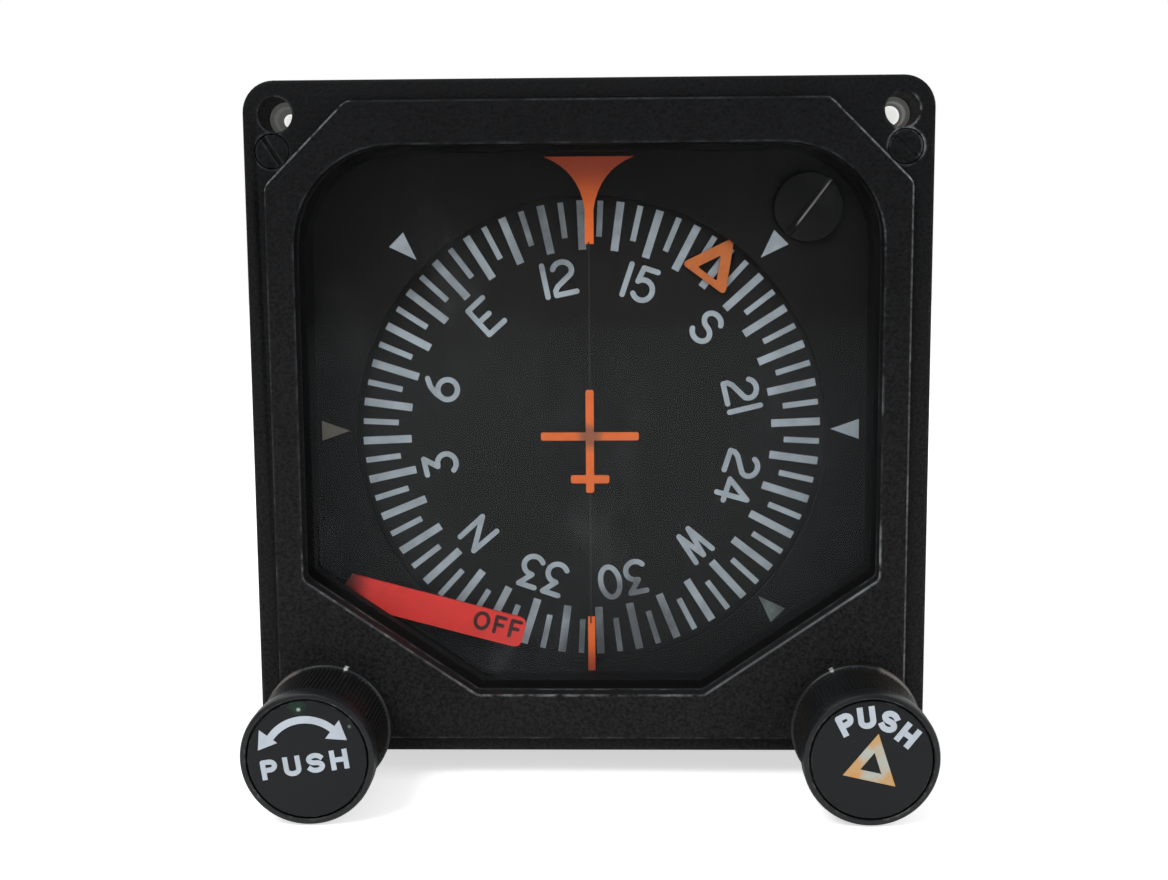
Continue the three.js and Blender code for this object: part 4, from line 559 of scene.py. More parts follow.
def block(half, radius):
    return [(-half, -half, radius), (half, -half, radius), (half, half, radius), (-half, half, radius)]


def strip(half, low, high):
    return [(-half, low), (half, low), (half, high), (-half, high)]


def spun(points, degrees):
    """Points turned counterclockwise about the origin, as seen from the front."""
    c, s = math.cos(math.radians(degrees)), math.sin(math.radians(degrees))
    return [(x * c - z * s, x * s + z * c) for x, z in points]


def shifted(points, dx, dz):
    return [(x + dx, z + dz) for x, z in points]


print("a ring has", len(ring(1)), "points")

# %% [markdown]
# ### Rounded corners
# A corner is cut by an arc that touches both of its edges. The arc's centre lies on the line that halves the
# corner, and the same line says where a corner goes when all edges move outwards.

# %% Rounded outlines
def at_corner(corners, i):
    """A corner, the direction back to the last one, the direction inwards, and half the corner's angle."""
    here = Vector(corners[i][:2])
    back, on = ((Vector(corners[k % len(corners)][:2]) - here).normalized() for k in (i - 1, i + 1))
    return here, back, (back + on).normalized(), math.acos(max(-1, min(1, back.dot(on)))) / 2


def rounded(corners, arc_step=9):
    """Corners are (x, z, radius); each becomes an arc with a point every few degrees."""
    points = []
    for i, (_, _, radius) in enumerate(corners):
        here, back, inwards, half = at_corner(corners, i)
        centre = here + inwards * (radius / math.sin(half))
        start = here + back * (radius / math.tan(half)) - centre
        sweep = 180 - 2 * math.degrees(half)
        steps = max(2, math.ceil(sweep / arc_step))
        for k in range(steps + 1):
            points += shifted(spun([start], sweep * k / steps), *centre)
    return points


def grown(corners, margin):
    """The same polygon with every edge moved outwards."""
    made = []
    for i, (_, _, radius) in enumerate(corners):
        here, _, inwards, half = at_corner(corners, i)
        made.append((*(here - inwards * (margin / math.sin(half))), max(radius + margin, 0)))
    return made


print("the bezel's outline has", len(rounded(block(HALF, CORNER))), "points")

# %% [markdown]
# ### Plates and turned parts
# prism() gives an outline two depths, and turned() spins a profile about a line along Y. Every object stays
# at the origin, with its place in the mesh.

# %% Plates
def placed(name, vertices, faces):
    """A new object at the origin from vertices in millimetres."""
    mesh = bpy.data.meshes.new(name)
    mesh.from_pydata([Vector(v) * MM for v in vertices], [], faces)
    made = bpy.data.objects.new(name, mesh)
    bpy.context.scene.collection.objects.link(made)
    return made


def slab(outline, front, back, base=0):
    """The vertices and faces of a plate; base is the number of its first vertex."""
    n = len(outline)
    vertices = [(x, y, z) for y in (front, back) for x, z in outline]
    faces = [tuple(range(base, base + n)), tuple(reversed(range(base + n, base + 2 * n)))]
    faces += [(base + i, base + n + i, base + n + (i + 1) % n, base + (i + 1) % n) for i in range(n)]
    return vertices, faces


def prism(name, outline, front, back):
    """A plate in the panel's plane between two depths."""
    return placed(name, *slab(outline, front, back))


print("a square plate has", len(slab(strip(1, 0, 2), 0, 1)[1]), "faces")

# %% Turned parts
def outward(made):
    """Merges doubles and points all the faces outwards."""
    work = bmesh.new()
    work.from_mesh(made.data)
    bmesh.ops.remove_doubles(work, verts=work.verts, dist=1e-7)
    bmesh.ops.recalc_face_normals(work, faces=work.faces)
    work.to_mesh(made.data)
    work.free()
    return made


def turned(name, profile, x=0, z=0, sides=96, closed=False):
    """The profile is (radius, depth), from axis to axis, or closed like a ring's."""
    vertices, rows, faces = [], [], []
    for radius, depth in profile:
        start = len(vertices)
        if radius:
            rows.append(range(start, start + sides))
            vertices += [(px, depth, pz) for px, pz in ring(radius, sides, x, z)]
        else:
            rows.append([start] * sides)
            vertices.append((x, depth, z))
    for low, high in [*zip(rows, rows[1:]), *([(rows[-1], rows[0])] if closed else [])]:
        loops = (dict.fromkeys((low[i - 1], low[i], high[i], high[i - 1])) for i in range(sides))
        faces += [tuple(loop) for loop in loops if len(loop) > 2]
    return outward(placed(name, vertices, faces))


print("turned() spins a profile")

# %% [markdown]
# ### Cutting and breaking edges
# Booleans cut the openings and a Bevel modifier breaks the edges. new_from_object works a modifier into the
# mesh. After a bevel the normals of the large faces are made even, or flat faces would look dented.

# %% Cutting, bevelling and freezing
SHARP, BEVEL_SHARP = 32, 40


def settled(made):
    """The object with its modifiers worked into its mesh."""
    old = made.data
    made.data = bpy.data.meshes.new_from_object(made.evaluated_get(bpy.context.evaluated_depsgraph_get()))
    made.modifiers.clear()
    bpy.data.meshes.remove(old)
    made.data.name = made.name
    return made


def frozen(made, angle=SHARP):
    """The settled object, shaded smooth below the angle."""
    settled(made).data.shade_smooth()
    made.data.set_sharp_from_angle(angle=math.radians(angle))
    return made


def booled(made, operation, *tools):
    for tool in tools:
        cut = made.modifiers.new("cut", "BOOLEAN")
        cut.operation, cut.object, cut.solver = operation, tool, "EXACT"
        frozen(made)
        bpy.data.objects.remove(tool)
    return made


def bevelled(made, width, segments=2, angle=SHARP):
    edge = made.modifiers.new("edge", "BEVEL")
    edge.width, edge.segments = width * MM, segments
    edge.limit_method, edge.angle_limit = "ANGLE", math.radians(angle)
    frozen(made, BEVEL_SHARP)
    made.modifiers.new("even", "WEIGHTED_NORMAL").keep_sharp = True
    return settled(made)


def slotted(head, place, turn, half, width, front, floor):
    """A screwdriver slot across a head."""
    slot = shifted(spun(strip(half, -width / 2, width / 2), turn), *place)
    return booled(head, "DIFFERENCE", prism("slot", slot, front, floor))


print("openings are cut exactly")

# %% [markdown]
# ### Finish, body and solids of a piece
# A finished piece gets its material, the body that it moves with and the solids that it stands for. A solid
# that is right as it is only gets a coat. One that is right but sharp is copied, merged and bevelled.

# %% Dressing a piece
def painted(made, material):
    made.data.materials.clear()
    made.data.materials.append(material)
    return made


def coat(material, *names):
    """Gives solids a finish without touching their shape."""
    for name in names:
        painted(nodes[name], material)


def dress(made, material, body, slot, *replaced):
    """Gives a piece its finish, the body it moves with and the solids it stands for."""
    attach(painted(made, material), body)
    if replaced:
        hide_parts(*replaced)
    return made


def refined(node, material, slot, width):
    """A copy of a solid with merged faces, broken edges and smooth rounds, which replaces it."""
    source = nodes[node]
    made = bpy.data.objects.new(node + "_finished", source.data.copy())
    bpy.context.scene.collection.objects.link(made)
    work = bmesh.new()
    work.from_mesh(made.data)
    bmesh.ops.remove_doubles(work, verts=work.verts, dist=2e-6)
    bmesh.ops.dissolve_limit(work, angle_limit=math.radians(1), verts=work.verts, edges=work.edges)
    work.to_mesh(made.data)
    work.free()
    bevelled(made, width, angle=38)
    return dress(made, material, source["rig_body"], slot, node)


print("helpers ready")

# %% [markdown]
# ## The bezel
# The bezel is one casting: a square flange with a raised plateau, whose top corners are cut off, and the
# window, whose bottom corners are cut off to make room for the knobs. Its outlines are drawn, and the
# openings cut with booleans, because each opening is a plain prism. Its edges are bevelled before the cuts,
# so the cut edges stay crisp.

# %% Openings of the bezel
AHEAD, BEHIND, PLATEAU_FOOT = -4, 14, 1.3
BAY_FRONT, BAY_TOP, BAY_INNER, BAY_WALL = 5.2, -3, 9, HALF - 1.1
BAY = [(BAY_INNER, -BAY_WALL), (BAY_WALL, -BAY_WALL), (BAY_WALL, BAY_TOP), (WINDOW_HALF, BAY_TOP),
       (WINDOW_HALF, SLOPE_TOP), (SILL_HALF, SILL), (BAY_INNER, SILL)]


def bezel_openings():
    """The window, the hollows behind the knobs, and the holes of both sides."""
    cuts = [prism("cut", rounded(WINDOW), AHEAD, BEHIND),
            prism("cut", rounded(grown(WINDOW, 0.9)), PLATEAU_FOOT, BEHIND),
            prism("cut", BAY, BAY_FRONT, BEHIND),
            prism("cut", [(-x, z) for x, z in reversed(BAY)], BAY_FRONT, BEHIND)]
    holes = ((MOUNT, 2.08, 64, AHEAD, BEHIND), (MOUNT, 3.05, 48, 6.5, BEHIND), (SCREW, 2.14, 64, AHEAD, 1.2),
             (SCREW, 1.25, 32, AHEAD, BEHIND), ((KNOB_X, KNOB_Z), 2.75, 48, AHEAD, BEHIND))
    for s in (-1, 1):
        cuts += [prism("cut", ring(radius, sides, s * x, z), front, back)
                 for (x, z), radius, sides, front, back in holes]
    return cuts


print("window", 2 * WINDOW_HALF, "mm wide")

# %% Bezel casting
def bezel_casting():
    body = bevelled(prism("bezel_casting", rounded(block(HALF, CORNER)), 0, FLANGE), 0.5, 3)
    side, top, cut, bottom = PLATEAU_SIDE, PLATEAU_TOP, PLATEAU_CUT, HALF - 1.9
    raised = [(-side, -bottom, 5), (side, -bottom, 5), (side, top - cut, 2.5), (side - cut, top, 2.5),
              (cut - side, top, 2.5), (-side, top - cut, 2.5)]
    booled(body, "UNION", bevelled(prism("plateau", rounded(raised), PLATEAU, PLATEAU_FOOT), 0.3))
    booled(body, "DIFFERENCE", *bezel_openings())
    return dress(body, CHARCOAL, "housing", "bezel_paint", "bezel")


print("bezel casting:", len(bezel_casting().data.polygons), "faces")

# %% [markdown]
# ## Inserts and flush screws
# Two painted screws hold the bezel to the case. They were painted over with the casting, so they take its
# finish, and the right one's slot is nearly full of paint. The mounting holes hold grey inserts.

# %% Screws of the flange
FLUSH, FLUSH_FRONT, FLUSH_SEAT, FLUSH_SHANK, FLUSH_END = 2.06, 0.1, 1.1, 1.1, 15
SMALL_SIDES = 48


def flange_screw(side, x, turn, floor):
    """A flat head on a shank; the slot is open down to the floor."""
    head = turned(f"flange_screw_{side}_finished", [
        (0, FLUSH_FRONT), (FLUSH - 0.13, FLUSH_FRONT), (FLUSH, FLUSH_FRONT + 0.1), (FLUSH, FLUSH_SEAT),
        (FLUSH_SHANK, FLUSH_SEAT), (FLUSH_SHANK, FLUSH_END), (0, FLUSH_END)], x, SCREW[1], SMALL_SIDES)
    slotted(head, (x, SCREW[1]), turn, half=3, width=0.44, front=FLUSH_FRONT - 1.1, floor=floor)
    dress(bevelled(head, 0.05, 1), CHARCOAL, "housing", "bezel_paint", f"flange_screw_{side}")


print("flush heads", 2 * FLUSH, "mm across")

# %% Inserts of the mounting holes
BUSH, BUSH_BORE, BUSH_FRONT, BUSH_BACK, NECK_FRONT, NECK_BACK = 2.9, 1.5, 6.6, 10.5, 8.9, 9
PALE_FRONT, PALE_RADIUS = 9.1, 1.4


def mount_insert(side, x, neck):
    """A bush with a neck near its back, and the pale film seen through the neck, glowing with painted
    backlight.
    """
    film = turned(f"mount_film_{side}", [
        (0, PALE_FRONT + 0.2), (neck, PALE_FRONT + 0.15), (neck + 0.1, PALE_FRONT), (PALE_RADIUS, PALE_FRONT),
        (PALE_RADIUS, PALE_FRONT + 0.5), (0, PALE_FRONT + 0.6)], x, MOUNT[1], SMALL_SIDES)
    dress(frozen(film), BACKLIGHT_FILM, "housing", "nylon")
    insert = turned(f"mount_insert_{side}_finished", [
        (BUSH_BORE + 0.15, BUSH_FRONT), (BUSH - 0.1, BUSH_FRONT), (BUSH, BUSH_FRONT + 0.1), (BUSH, BUSH_BACK),
        (BUSH_BORE, BUSH_BACK), (BUSH_BORE, NECK_BACK + 0.05), (neck, NECK_BACK), (neck, NECK_FRONT),
        (BUSH_BORE, NECK_FRONT - 0.1), (BUSH_BORE + 0.05, BUSH_FRONT + 0.15)],
        x, MOUNT[1], SMALL_SIDES, closed=True)
    dress(frozen(insert), NYLON, "housing", "nylon", f"mount_insert_{side}")


for side, s, turn, floor, neck in (("left", -1, -57, 0.42, 0.85), ("right", 1, -41, 0.2, 1.2)):
    flange_screw(side, s * SCREW[0], turn, floor)
    mount_insert(side, s * MOUNT[0], neck)
print("screws and inserts are in")

# %% [markdown]
# ## The window
# Behind the bezel's edge lie a rubber gasket, the glass and the black wall that keeps the mask at its
# distance. These solids are right as they are and only take their finishes.

# %% Window finishes
coat(RUBBER, "window_gasket")
coat(GLASS, "window_glass")
coat(WINDOW_BLACK, "window_frame")
coat(MASK_BLACK, "mask_plate")
coat(CARD_BLACK, "compass_card", "card_shaft")
print("window coated")

# %% [markdown]
# ## Repeated bars by Geometry Nodes
# The card has 72 marks, and the knobs have dozens of ribs. Both are a bar repeated round a circle, so one
# tree makes them: a circle of points, a bar on each, turned to point outwards. The sizes are named inputs.

# %% Trees that grow a piece
class Grower(Desk):
    """A Geometry Nodes tree with named inputs."""

    PREFIX = "GeometryNode"

    def __init__(self, name, **inputs):
        super().__init__(bpy.data.node_groups.new(name, "GeometryNodeTree"))
        self.inputs = {}
        for way in ("INPUT", "OUTPUT"):
            self.tree.interface.new_socket("Geometry", in_out=way, socket_type="NodeSocketGeometry")
        for key, value in inputs.items():
            kind = "NodeSocketInt" if isinstance(value, int) else "NodeSocketFloat"
            socket = self.tree.interface.new_socket(key, in_out="INPUT", socket_type=kind)
            self.inputs[socket.identifier] = value

    def value(self, key):
        return self.node("NodeGroupInput", out=key)

    def vector(self, **parts):
        return self.node("ShaderNodeCombineXYZ", parts)

    def both(self, *wires):
        """Several shapes as one."""
        made = self.node("JoinGeometry")
        for wire in wires:
            self.tree.links.new(wire.socket, made.socket.node.inputs[0])
        return made

    def grow(self, name, wire, material):
        """Ends the tree, runs it once on a new object and keeps the plain mesh."""
        real = self.node("RealizeInstances", {"Geometry": wire})
        coated = self.node("SetMaterial", {"Geometry": real, "Material": material})
        self.node("NodeGroupOutput", {"Geometry": coated})
        made = placed(name, [(0, 0, 0)], [])
        modifier = made.modifiers.new("grow", "NODES")
        modifier.node_group = self.tree
        for identifier, value in self.inputs.items():
            modifier[identifier] = value
        return frozen(made)


print("a tree ends in plain mesh")

# %% A circle of bars
def bars_round(name, material, place, turn, count, **sizes):
    """Bars round a line along Y: Length runs along the Radius, Width round the circle and Depth along Y."""
    g = Grower(name + "_tree", Count=count, Turn=math.radians(turn),
               **{key: size * MM for key, size in sizes.items()})
    points = g.node("MeshCircle", {"Vertices": g.value("Count"), "Radius": g.value("Radius")})
    size = g.vector(X=g.value("Length"), Y=g.value("Width"), Z=g.value("Depth"))
    outwards = g.vector(Z=g.node("InputIndex") / g.value("Count") * (2 * math.pi))
    spread = g.node("InstanceOnPoints", {
        "Points": points, "Instance": g.node("MeshCube", {"Size": size}), "Rotation": outwards})
    lay = g.node("Transform", {"Geometry": spread, "Rotation": g.vector(Z=g.value("Turn"))})
    stand = g.node("Transform", {
        "Geometry": lay, "Rotation": (math.pi / 2, 0, 0), "Translation": Vector(place) * MM})
    return g.grow(name, stand, material)


print("one tree for marks and ribs")

# %% [markdown]
# ## The compass card's marks
# Long marks stand every ten degrees and shorter, thinner ones between them. The card is not straight: the
# aircraft heads about 132 degrees, so all the marks and numbers are turned by that much.

# %% Marks on the card
HEADING, MARKS, MARK_FILM = 132.25, 36, 0.05


def card_marks(name, radius, length, width, turn):
    middle = (0, CARD_Y + INK_SUNK - MARK_FILM / 2, CARD_Z)
    marks = bars_round(name, CARD_INK, middle, HEADING + turn, MARKS,
                       Radius=radius, Length=length, Width=width, Depth=MARK_FILM)
    return dress(marks, CARD_INK, "card", "dial_black")


card_marks("ten_degree_marks", radius=26.22, length=6.2, width=0.98, turn=90)
card_marks("five_degree_marks", radius=27, length=4.5, width=0.72, turn=95)
print("marks:", 2 * MARKS)

# %% [markdown]
# ## Lettering drawn with strokes
# Instrument lettering has one stroke width and simple arcs, unlike a typeface. Each character is a few
# centre lines in a box one unit high, with its width. A ribbon is laid along each line. At sharp corners
# the line is cut and the ribbons overlap with round ends, so it gets the look of a round pen.

# %% Characters as centre lines
def oval(rx):
    return [bow(0, 0, rx, 0.43, 90, 275), bow(0, 0, rx, 0.43, -90, 95)]


GLYPHS = {
    "0": (0.62, oval(0.26)),
    "1": (0.16, [[(0, -0.43), (0, 0.43)]]),
    "2": (0.64, [bow(0, 0.2, 0.26, 0.23, 160, -38)
                 + [(-0.2, -0.2), (-0.28, -0.31), (-0.28, -0.43), (0.28, -0.43)]]),
    "3": (0.58, [[(-0.23, 0.43), (0.22, 0.43), (-0.06, 0.09)] + bow(-0.03, -0.17, 0.27, 0.26, 70, -145)]),
    "4": (0.66, [[(0.16, -0.43), (0.12, 0.43), (-0.29, -0.19), (0.32, -0.19)]]),
    "5": (0.6, [[(0.24, 0.43), (-0.15, 0.43), (-0.2, 0.04)] + bow(-0.01, -0.15, 0.27, 0.28, 125, -145)]),
    "6": (0.62, [[(0.14, 0.45), (-0.05, 0.32), (-0.2, 0.1), (-0.275, -0.12)],
                 bow(0, -0.16, 0.275, 0.27, 165, 535, 26)]),
    "E": (0.62, [[(0.28, 0.43), (-0.26, 0.43), (-0.26, -0.43), (0.3, -0.43)], [(-0.26, 0.0), (0.12, 0.0)]]),
    "F": (0.56, [[(0.26, 0.43), (-0.22, 0.43), (-0.22, -0.43)], [(-0.22, 0.0), (0.17, 0.0)]]),
    "H": (0.68, [[(-0.26, -0.43), (-0.26, 0.43)], [(0.26, -0.43), (0.26, 0.43)],
                 [(-0.26, 0.0), (0.26, 0.0)]]),
    "N": (0.7, [[(-0.3, -0.43), (-0.27, 0.42), (0.27, -0.42), (0.27, 0.43)]]),
    "O": (0.82, oval(0.36)),
    "P": (0.6, [[(-0.22, -0.43), (-0.22, 0.43), (0.04, 0.43)] + bow(0.04, 0.2, 0.21, 0.23, 80, -80)
                + [(-0.2, -0.03)]]),
    "S": (0.6, [bow(0, 0.22, 0.25, 0.21, 25, 265) + bow(0, -0.21, 0.26, 0.22, 85, -155)]),
    "U": (0.64, [[(-0.25, 0.43), (-0.25, -0.18)] + bow(0, -0.18, 0.25, 0.25, 190, 350)
                 + [(0.25, -0.18), (0.25, 0.43)]]),
    "W": (0.7, [[(-0.3, 0.43), (-0.17, -0.43), (0, 0.4), (0.17, -0.43), (0.3, 0.43)]]),
}
print("characters:", "".join(GLYPHS))

# %% Words
def lettered(text, height, spacing=0.12, wide=1.0, places=None):
    """Centre lines of a word round the origin, in millimetres; places may give (x, z, turn) for each."""
    widths = [GLYPHS[c][0] * wide for c in text]
    lines, along = [], -(sum(widths) + spacing * (len(text) - 1)) / 2
    for i, c in enumerate(text):
        x, z, turn = places[i] if places else ((along + widths[i] / 2) * height, 0, 0)
        for stroke in GLYPHS[c][1]:
            points = [(px * height * wide, pz * height) for px, pz in stroke]
            lines.append(shifted(spun(points, turn), x, z))
        along += widths[i] + spacing
    return lines


def moved(lines, turn, x, z):
    """A word's lines, turned and then shifted."""
    return [shifted(spun(points, turn), x, z) for points in lines]


print("strokes in a word:", len(lettered("PUSH", 1)))

# %% Lines for ribbons
SHARP_TURN, MITRE = 40, 0.8


def direction(points, i):
    """The unit vector from one point of a line to the next."""
    return (Vector(points[i + 1]) - Vector(points[i])).normalized()


def at_corners(lines):
    """The lines cut at their sharp corners, where round ends meet and make a round joint."""
    pieces = []
    for points in lines:
        last = len(points) - 1
        sharp = [i for i in range(1, last)
                 if math.degrees(direction(points, i - 1).angle(direction(points, i))) > SHARP_TURN]
        cuts = [0, *sharp, last]
        pieces += [points[a:b + 1] for a, b in zip(cuts, cuts[1:])]
    return pieces


def edges_of(points, half):
    """The left and right edges of a ribbon, mitred along its gentle bends."""
    left, right = [], []
    for i, (x, z) in enumerate(points):
        before = direction(points, max(i - 1, 0))
        after = direction(points, i) if i + 1 < len(points) else before
        across = Vector((-before.y, before.x))
        normal = (across + Vector((-after.y, after.x))).normalized()
        reach = half / max(MITRE, normal.dot(across))
        left.append((x + normal.x * reach, z + normal.y * reach))
        right.append((x - normal.x * reach, z - normal.y * reach))
    return left, right


def lengthened(points, reach):
    """The line drawn out at both ends."""
    start = Vector(points[0]) - direction(points, 0) * reach
    end = Vector(points[-1]) + direction(points, len(points) - 2) * reach
    return [tuple(start), *points[1:-1], tuple(end)]


print("a five has", len(at_corners(GLYPHS["5"][1])), "ribbons")

# %% Ribbons along lines
STAGGER, STAGGERS, CAP_STEP = 0.012, 4, 0.004


def ribbons(name, lines, width, front, back, blunt=False):
    """All the lines as one mesh of flat ribbons with round or blunt ends.

    Ribbons that overlap differ a little in depth, so that no two faces lie in one plane.
    """
    vertices, faces, square = [], [], set()
    if blunt:
        lines = [lengthened(points, width / 2) for points in lines]
        square = {end for points in lines for end in (points[0], points[-1])}
    for k, points in enumerate(at_corners(lines)):
        depth, base = front + STAGGER * (k % STAGGERS), len(vertices)
        for (lx, lz), (rx, rz) in zip(*edges_of(points, width / 2)):
            vertices += [(lx, depth, lz), (rx, depth, rz), (rx, back, rz), (lx, back, lz)]
        last = base + 4 * (len(points) - 1)
        for a in range(base, last, 4):
            faces += [(a + j, a + (j + 1) % 4, a + 4 + (j + 1) % 4, a + 4 + j) for j in range(4)]
        faces += [(base + 3, base + 2, base + 1, base), (last, last + 1, last + 2, last + 3)]
        for end in {points[0], points[-1]} - square:
            cap, sides = slab(ring(width / 2, 20, *end), depth + CAP_STEP, back, len(vertices))
            vertices += cap
            faces += sides
    return outward(placed(name, vertices, faces))


print("a stroke is a flat ribbon")

# %% [markdown]
# ### Numbers and letters of the card
# The numbers stand on a circle with their feet towards the middle, one every 30 degrees. Each is off by a
# fraction of a degree, as hand-set lettering is.

# %% Card numbers
NUMBER_RADIUS, NUMBER_HEIGHT, NUMBER_STROKE = 19.86, 4.67, 0.68
OFF_BY = {"N": 0, "3": 0.1, "6": -1.3, "E": 0.2, "12": 0.7, "15": 0.8, "S": 0.5, "21": -0.9, "24": 0.4,
          "W": 0.4, "30": 0.6, "33": 0.9}


def card_numbers():
    lines = []
    for heading, (text, off) in zip(range(0, 360, 30), OFF_BY.items()):
        word = moved(lettered(text, NUMBER_HEIGHT), 0, 0, NUMBER_RADIUS)
        lines += moved(word, HEADING - heading - off, 0, CARD_Z)
    made = ribbons("card_numbers", lines, NUMBER_STROKE, CARD_Y - INK_PROUD, CARD_Y + INK_SUNK)
    return dress(made, CARD_INK, "card", "dial_black")


print("vertices of the numbers:", len(card_numbers().data.vertices))

# %% [markdown]
# ## Fixed marks
# White triangles on the mask point at every 45 degrees of the card. The orange lubber lines at the top and
# bottom lie on the mask, and the aircraft symbol is painted on the back of the glass with a fine line.

# %% Index triangles
INDEX, LOW_LEFT_INDEX = (30.57, 34.15, 1.27), (30.0, 33.2, 1.2)
INDEX_SHIFT = (-0.15, CARD_Z + 0.35)


def index_triangle(clock, material, sizes=INDEX):
    """Sizes are the radius of the tip, the radius of the base and half the base."""
    tip, base, half = sizes
    corners = spun([(tip, 0), (base, -half), (base, half)], 90 - clock)
    made = prism(f"index_{clock:03d}", shifted(corners, *INDEX_SHIFT), MASK_FACE - 0.04, MASK_FACE + INK_SUNK)
    return dress(outward(made), material, "housing", "dial_black")


for clock, material in ((45, INK), (90, INK), (135, DIM_INK)):
    index_triangle(clock, material)
index_triangle(225, INK, LOW_LEFT_INDEX)
for clock, material in ((270, FAINT_INK), (315, INK)):
    index_triangle(clock, material)
print("six index triangles")

# %% Aircraft symbol, hairlines and lubbers
def aircraft_marker():
    """A fuselage, wings and a tail as three bars with rounded corners."""
    bars = []
    for half, low, high in ((0.5, -7.1, 5.8), (6.1, -0.5, 0.5), (2.4, -5.9, -4.9)):
        corners = [(x, z, min(0.28, half * 0.9)) for x, z in strip(half, low, high)]
        bars.append(prism("aircraft_marker", rounded(corners, 22), GLASS_BACK, GLASS_BACK + 0.3))
    made = booled(bars[0], "UNION", *bars[1:])
    made.data.transform(Matrix.Translation((0, 0, CARD_Z * MM)))
    return dress(made, MARKER_ORANGE, "housing", "orange_paint", "aircraft_symbol")


aircraft_marker()
for name, low, high in (("upper_hairline", 3.6, 21.9), ("lower_hairline", -25.9, -9.1)):
    line = prism(name, strip(0.1, low, high), GLASS_BACK + 0.05, GLASS_BACK + 0.25)
    dress(line, HAIR, "housing", "orange_paint")
coat(LUBBER_ORANGE, "lubber_pointer", "lower_lubber")
print("fixed marks laid")

# %% [markdown]
# ## The plug in the mask
# Through a plugged hole the maker could reach a setting screw. The plug is turned, with a wide slot. A bright
# stripe along one side of the slot is a painted glint.

# %% Access plug
PLUG, PLUG_TURN = (27.3, 26.1), 52.7
PLUG_HEAD, PLUG_FRONT, PLUG_SEAT, PLUG_SHANK, PLUG_END = 4.4, 7.2, 8, 3.2, 10


def plug_black():
    """Black plastic with a painted glint: a bright stripe along one side of the slot."""
    f = Finish("plug_black", rgb(24, 24, 25), 0.5, Specular_IOR_Level=0.2)
    px, _, pz = f.xyz()
    dx, dz = px - PLUG[0], pz - PLUG[1]
    c, s = math.cos(math.radians(PLUG_TURN)), math.sin(math.radians(PLUG_TURN))
    # A painted glint: a bright stripe along one side of the slot.
    slot_glint = (dx * s - dz * c).near(0.2, 0, 0.2) * (dx * c + dz * s).near(0.8, 2.6, 3.8)
    worn = f.rim(0.2).step(0.2, 0.5) * f.noise(0.8).step(0.5, 0.65)
    base = f.layers(f.mix(rgb(16, 16, 17), rgb(27, 27, 28), f.noise(2)),
                    (rgb(96, 95, 92), worn * 0.5), (rgb(178, 178, 172), slot_glint))
    return f.paint(base, 0.5 - slot_glint * 0.15, f.noise(0.3), 0.01)


def access_plug():
    made = turned("access_plug_finished", [
        (0, PLUG_FRONT), (PLUG_HEAD - 0.2, PLUG_FRONT), (PLUG_HEAD, PLUG_FRONT + 0.2), (PLUG_HEAD, PLUG_SEAT),
        (PLUG_SHANK, PLUG_SEAT), (PLUG_SHANK, PLUG_END), (0, PLUG_END)], *PLUG, 72)
    slotted(made, PLUG, PLUG_TURN, half=6, width=0.8, front=PLUG_FRONT - 2.2, floor=PLUG_FRONT + 0.45)
    return dress(bevelled(made, 0.06, 1), plug_black(), "housing", "knob_plastic", "access_plug")


access_plug()
print("plug in place")

# %% [markdown]
# ## The heading bug
# The bug is a hollow orange triangle cut from sheet. It stands just in front of the card on an arm that
# comes over the card's rim from the gear behind it.

# %% Bug
BUG_TURN, BUG_FRONT, BUG_BACK = 36.6, 9.05, 9.45
BUG_OUTER = [(-3.46, 24, 0.45), (3.46, 24, 0.45), (0, 30.6, 0.2)]
BUG_INNER = [(-1.5, 24.87, 0.15), (1.5, 24.87, 0.15), (0, 27.75, 0.1)]
ARM_OUTER, ARM_INNER, ARM_REACH, ARM_BACK = 31.9, 31.1, 4.5, 11.4


def heading_bug():
    """A hollow triangle, a stem and a short arc that reaches back to the gear."""
    made = prism("heading_bug_finished", rounded(BUG_OUTER, 20), BUG_FRONT, BUG_BACK)
    booled(made, "DIFFERENCE", prism("hole", rounded(BUG_INNER, 20), BUG_FRONT - 1, BUG_BACK + 1))
    stem = prism("stem", strip(0.8, 29.95, 31.8), BUG_FRONT, BUG_BACK)
    start, end = 90 - ARM_REACH, 90 + ARM_REACH
    arc = bow(0, 0, ARM_OUTER, ARM_OUTER, start, end, 6) + bow(0, 0, ARM_INNER, ARM_INNER, end, start, 6)
    booled(made, "UNION", stem, prism("arm", arc, BUG_FRONT, ARM_BACK))
    bevelled(made, 0.05, 1)
    made.data.transform(Matrix.Translation((0, 0, CARD_Z * MM)) @ turn_about("Y", BUG_TURN))
    return dress(made, BUG_ORANGE, "bug", "orange_paint", "heading_bug")


heading_bug()
print("bug on its arm")

# %% [markdown]
# ## The warning flag
# The red flag comes into view when the power fails. Its solid is right as it is. Only the plain word OFF is
# printed on it.

# %% Flag and its word
FLAG_ROOT, FLAG_TILT = (-30.6, -20), -14.8


def flag_word():
    word = moved(lettered("OFF", height=2.35, spacing=0.3), 0, 19.6, -1.68)
    tilted = moved(word, FLAG_TILT, *FLAG_ROOT)
    return ribbons("flag_word", tilted, 0.48, FLAG_FACE - INK_PROUD, FLAG_FACE + INK_SUNK)


coat(RED, "warning_flag")
dress(flag_word(), FLAG_INK, "flag", "red_paint")
print("flag lettered")

# %% [markdown]
# ## The knobs
# Each knob is a turned body with a base ring and a rim, ribs round its grip and a face disc let into its
# front. The ribs repeat, so Geometry Nodes make them with the same tree as the marks on the card.

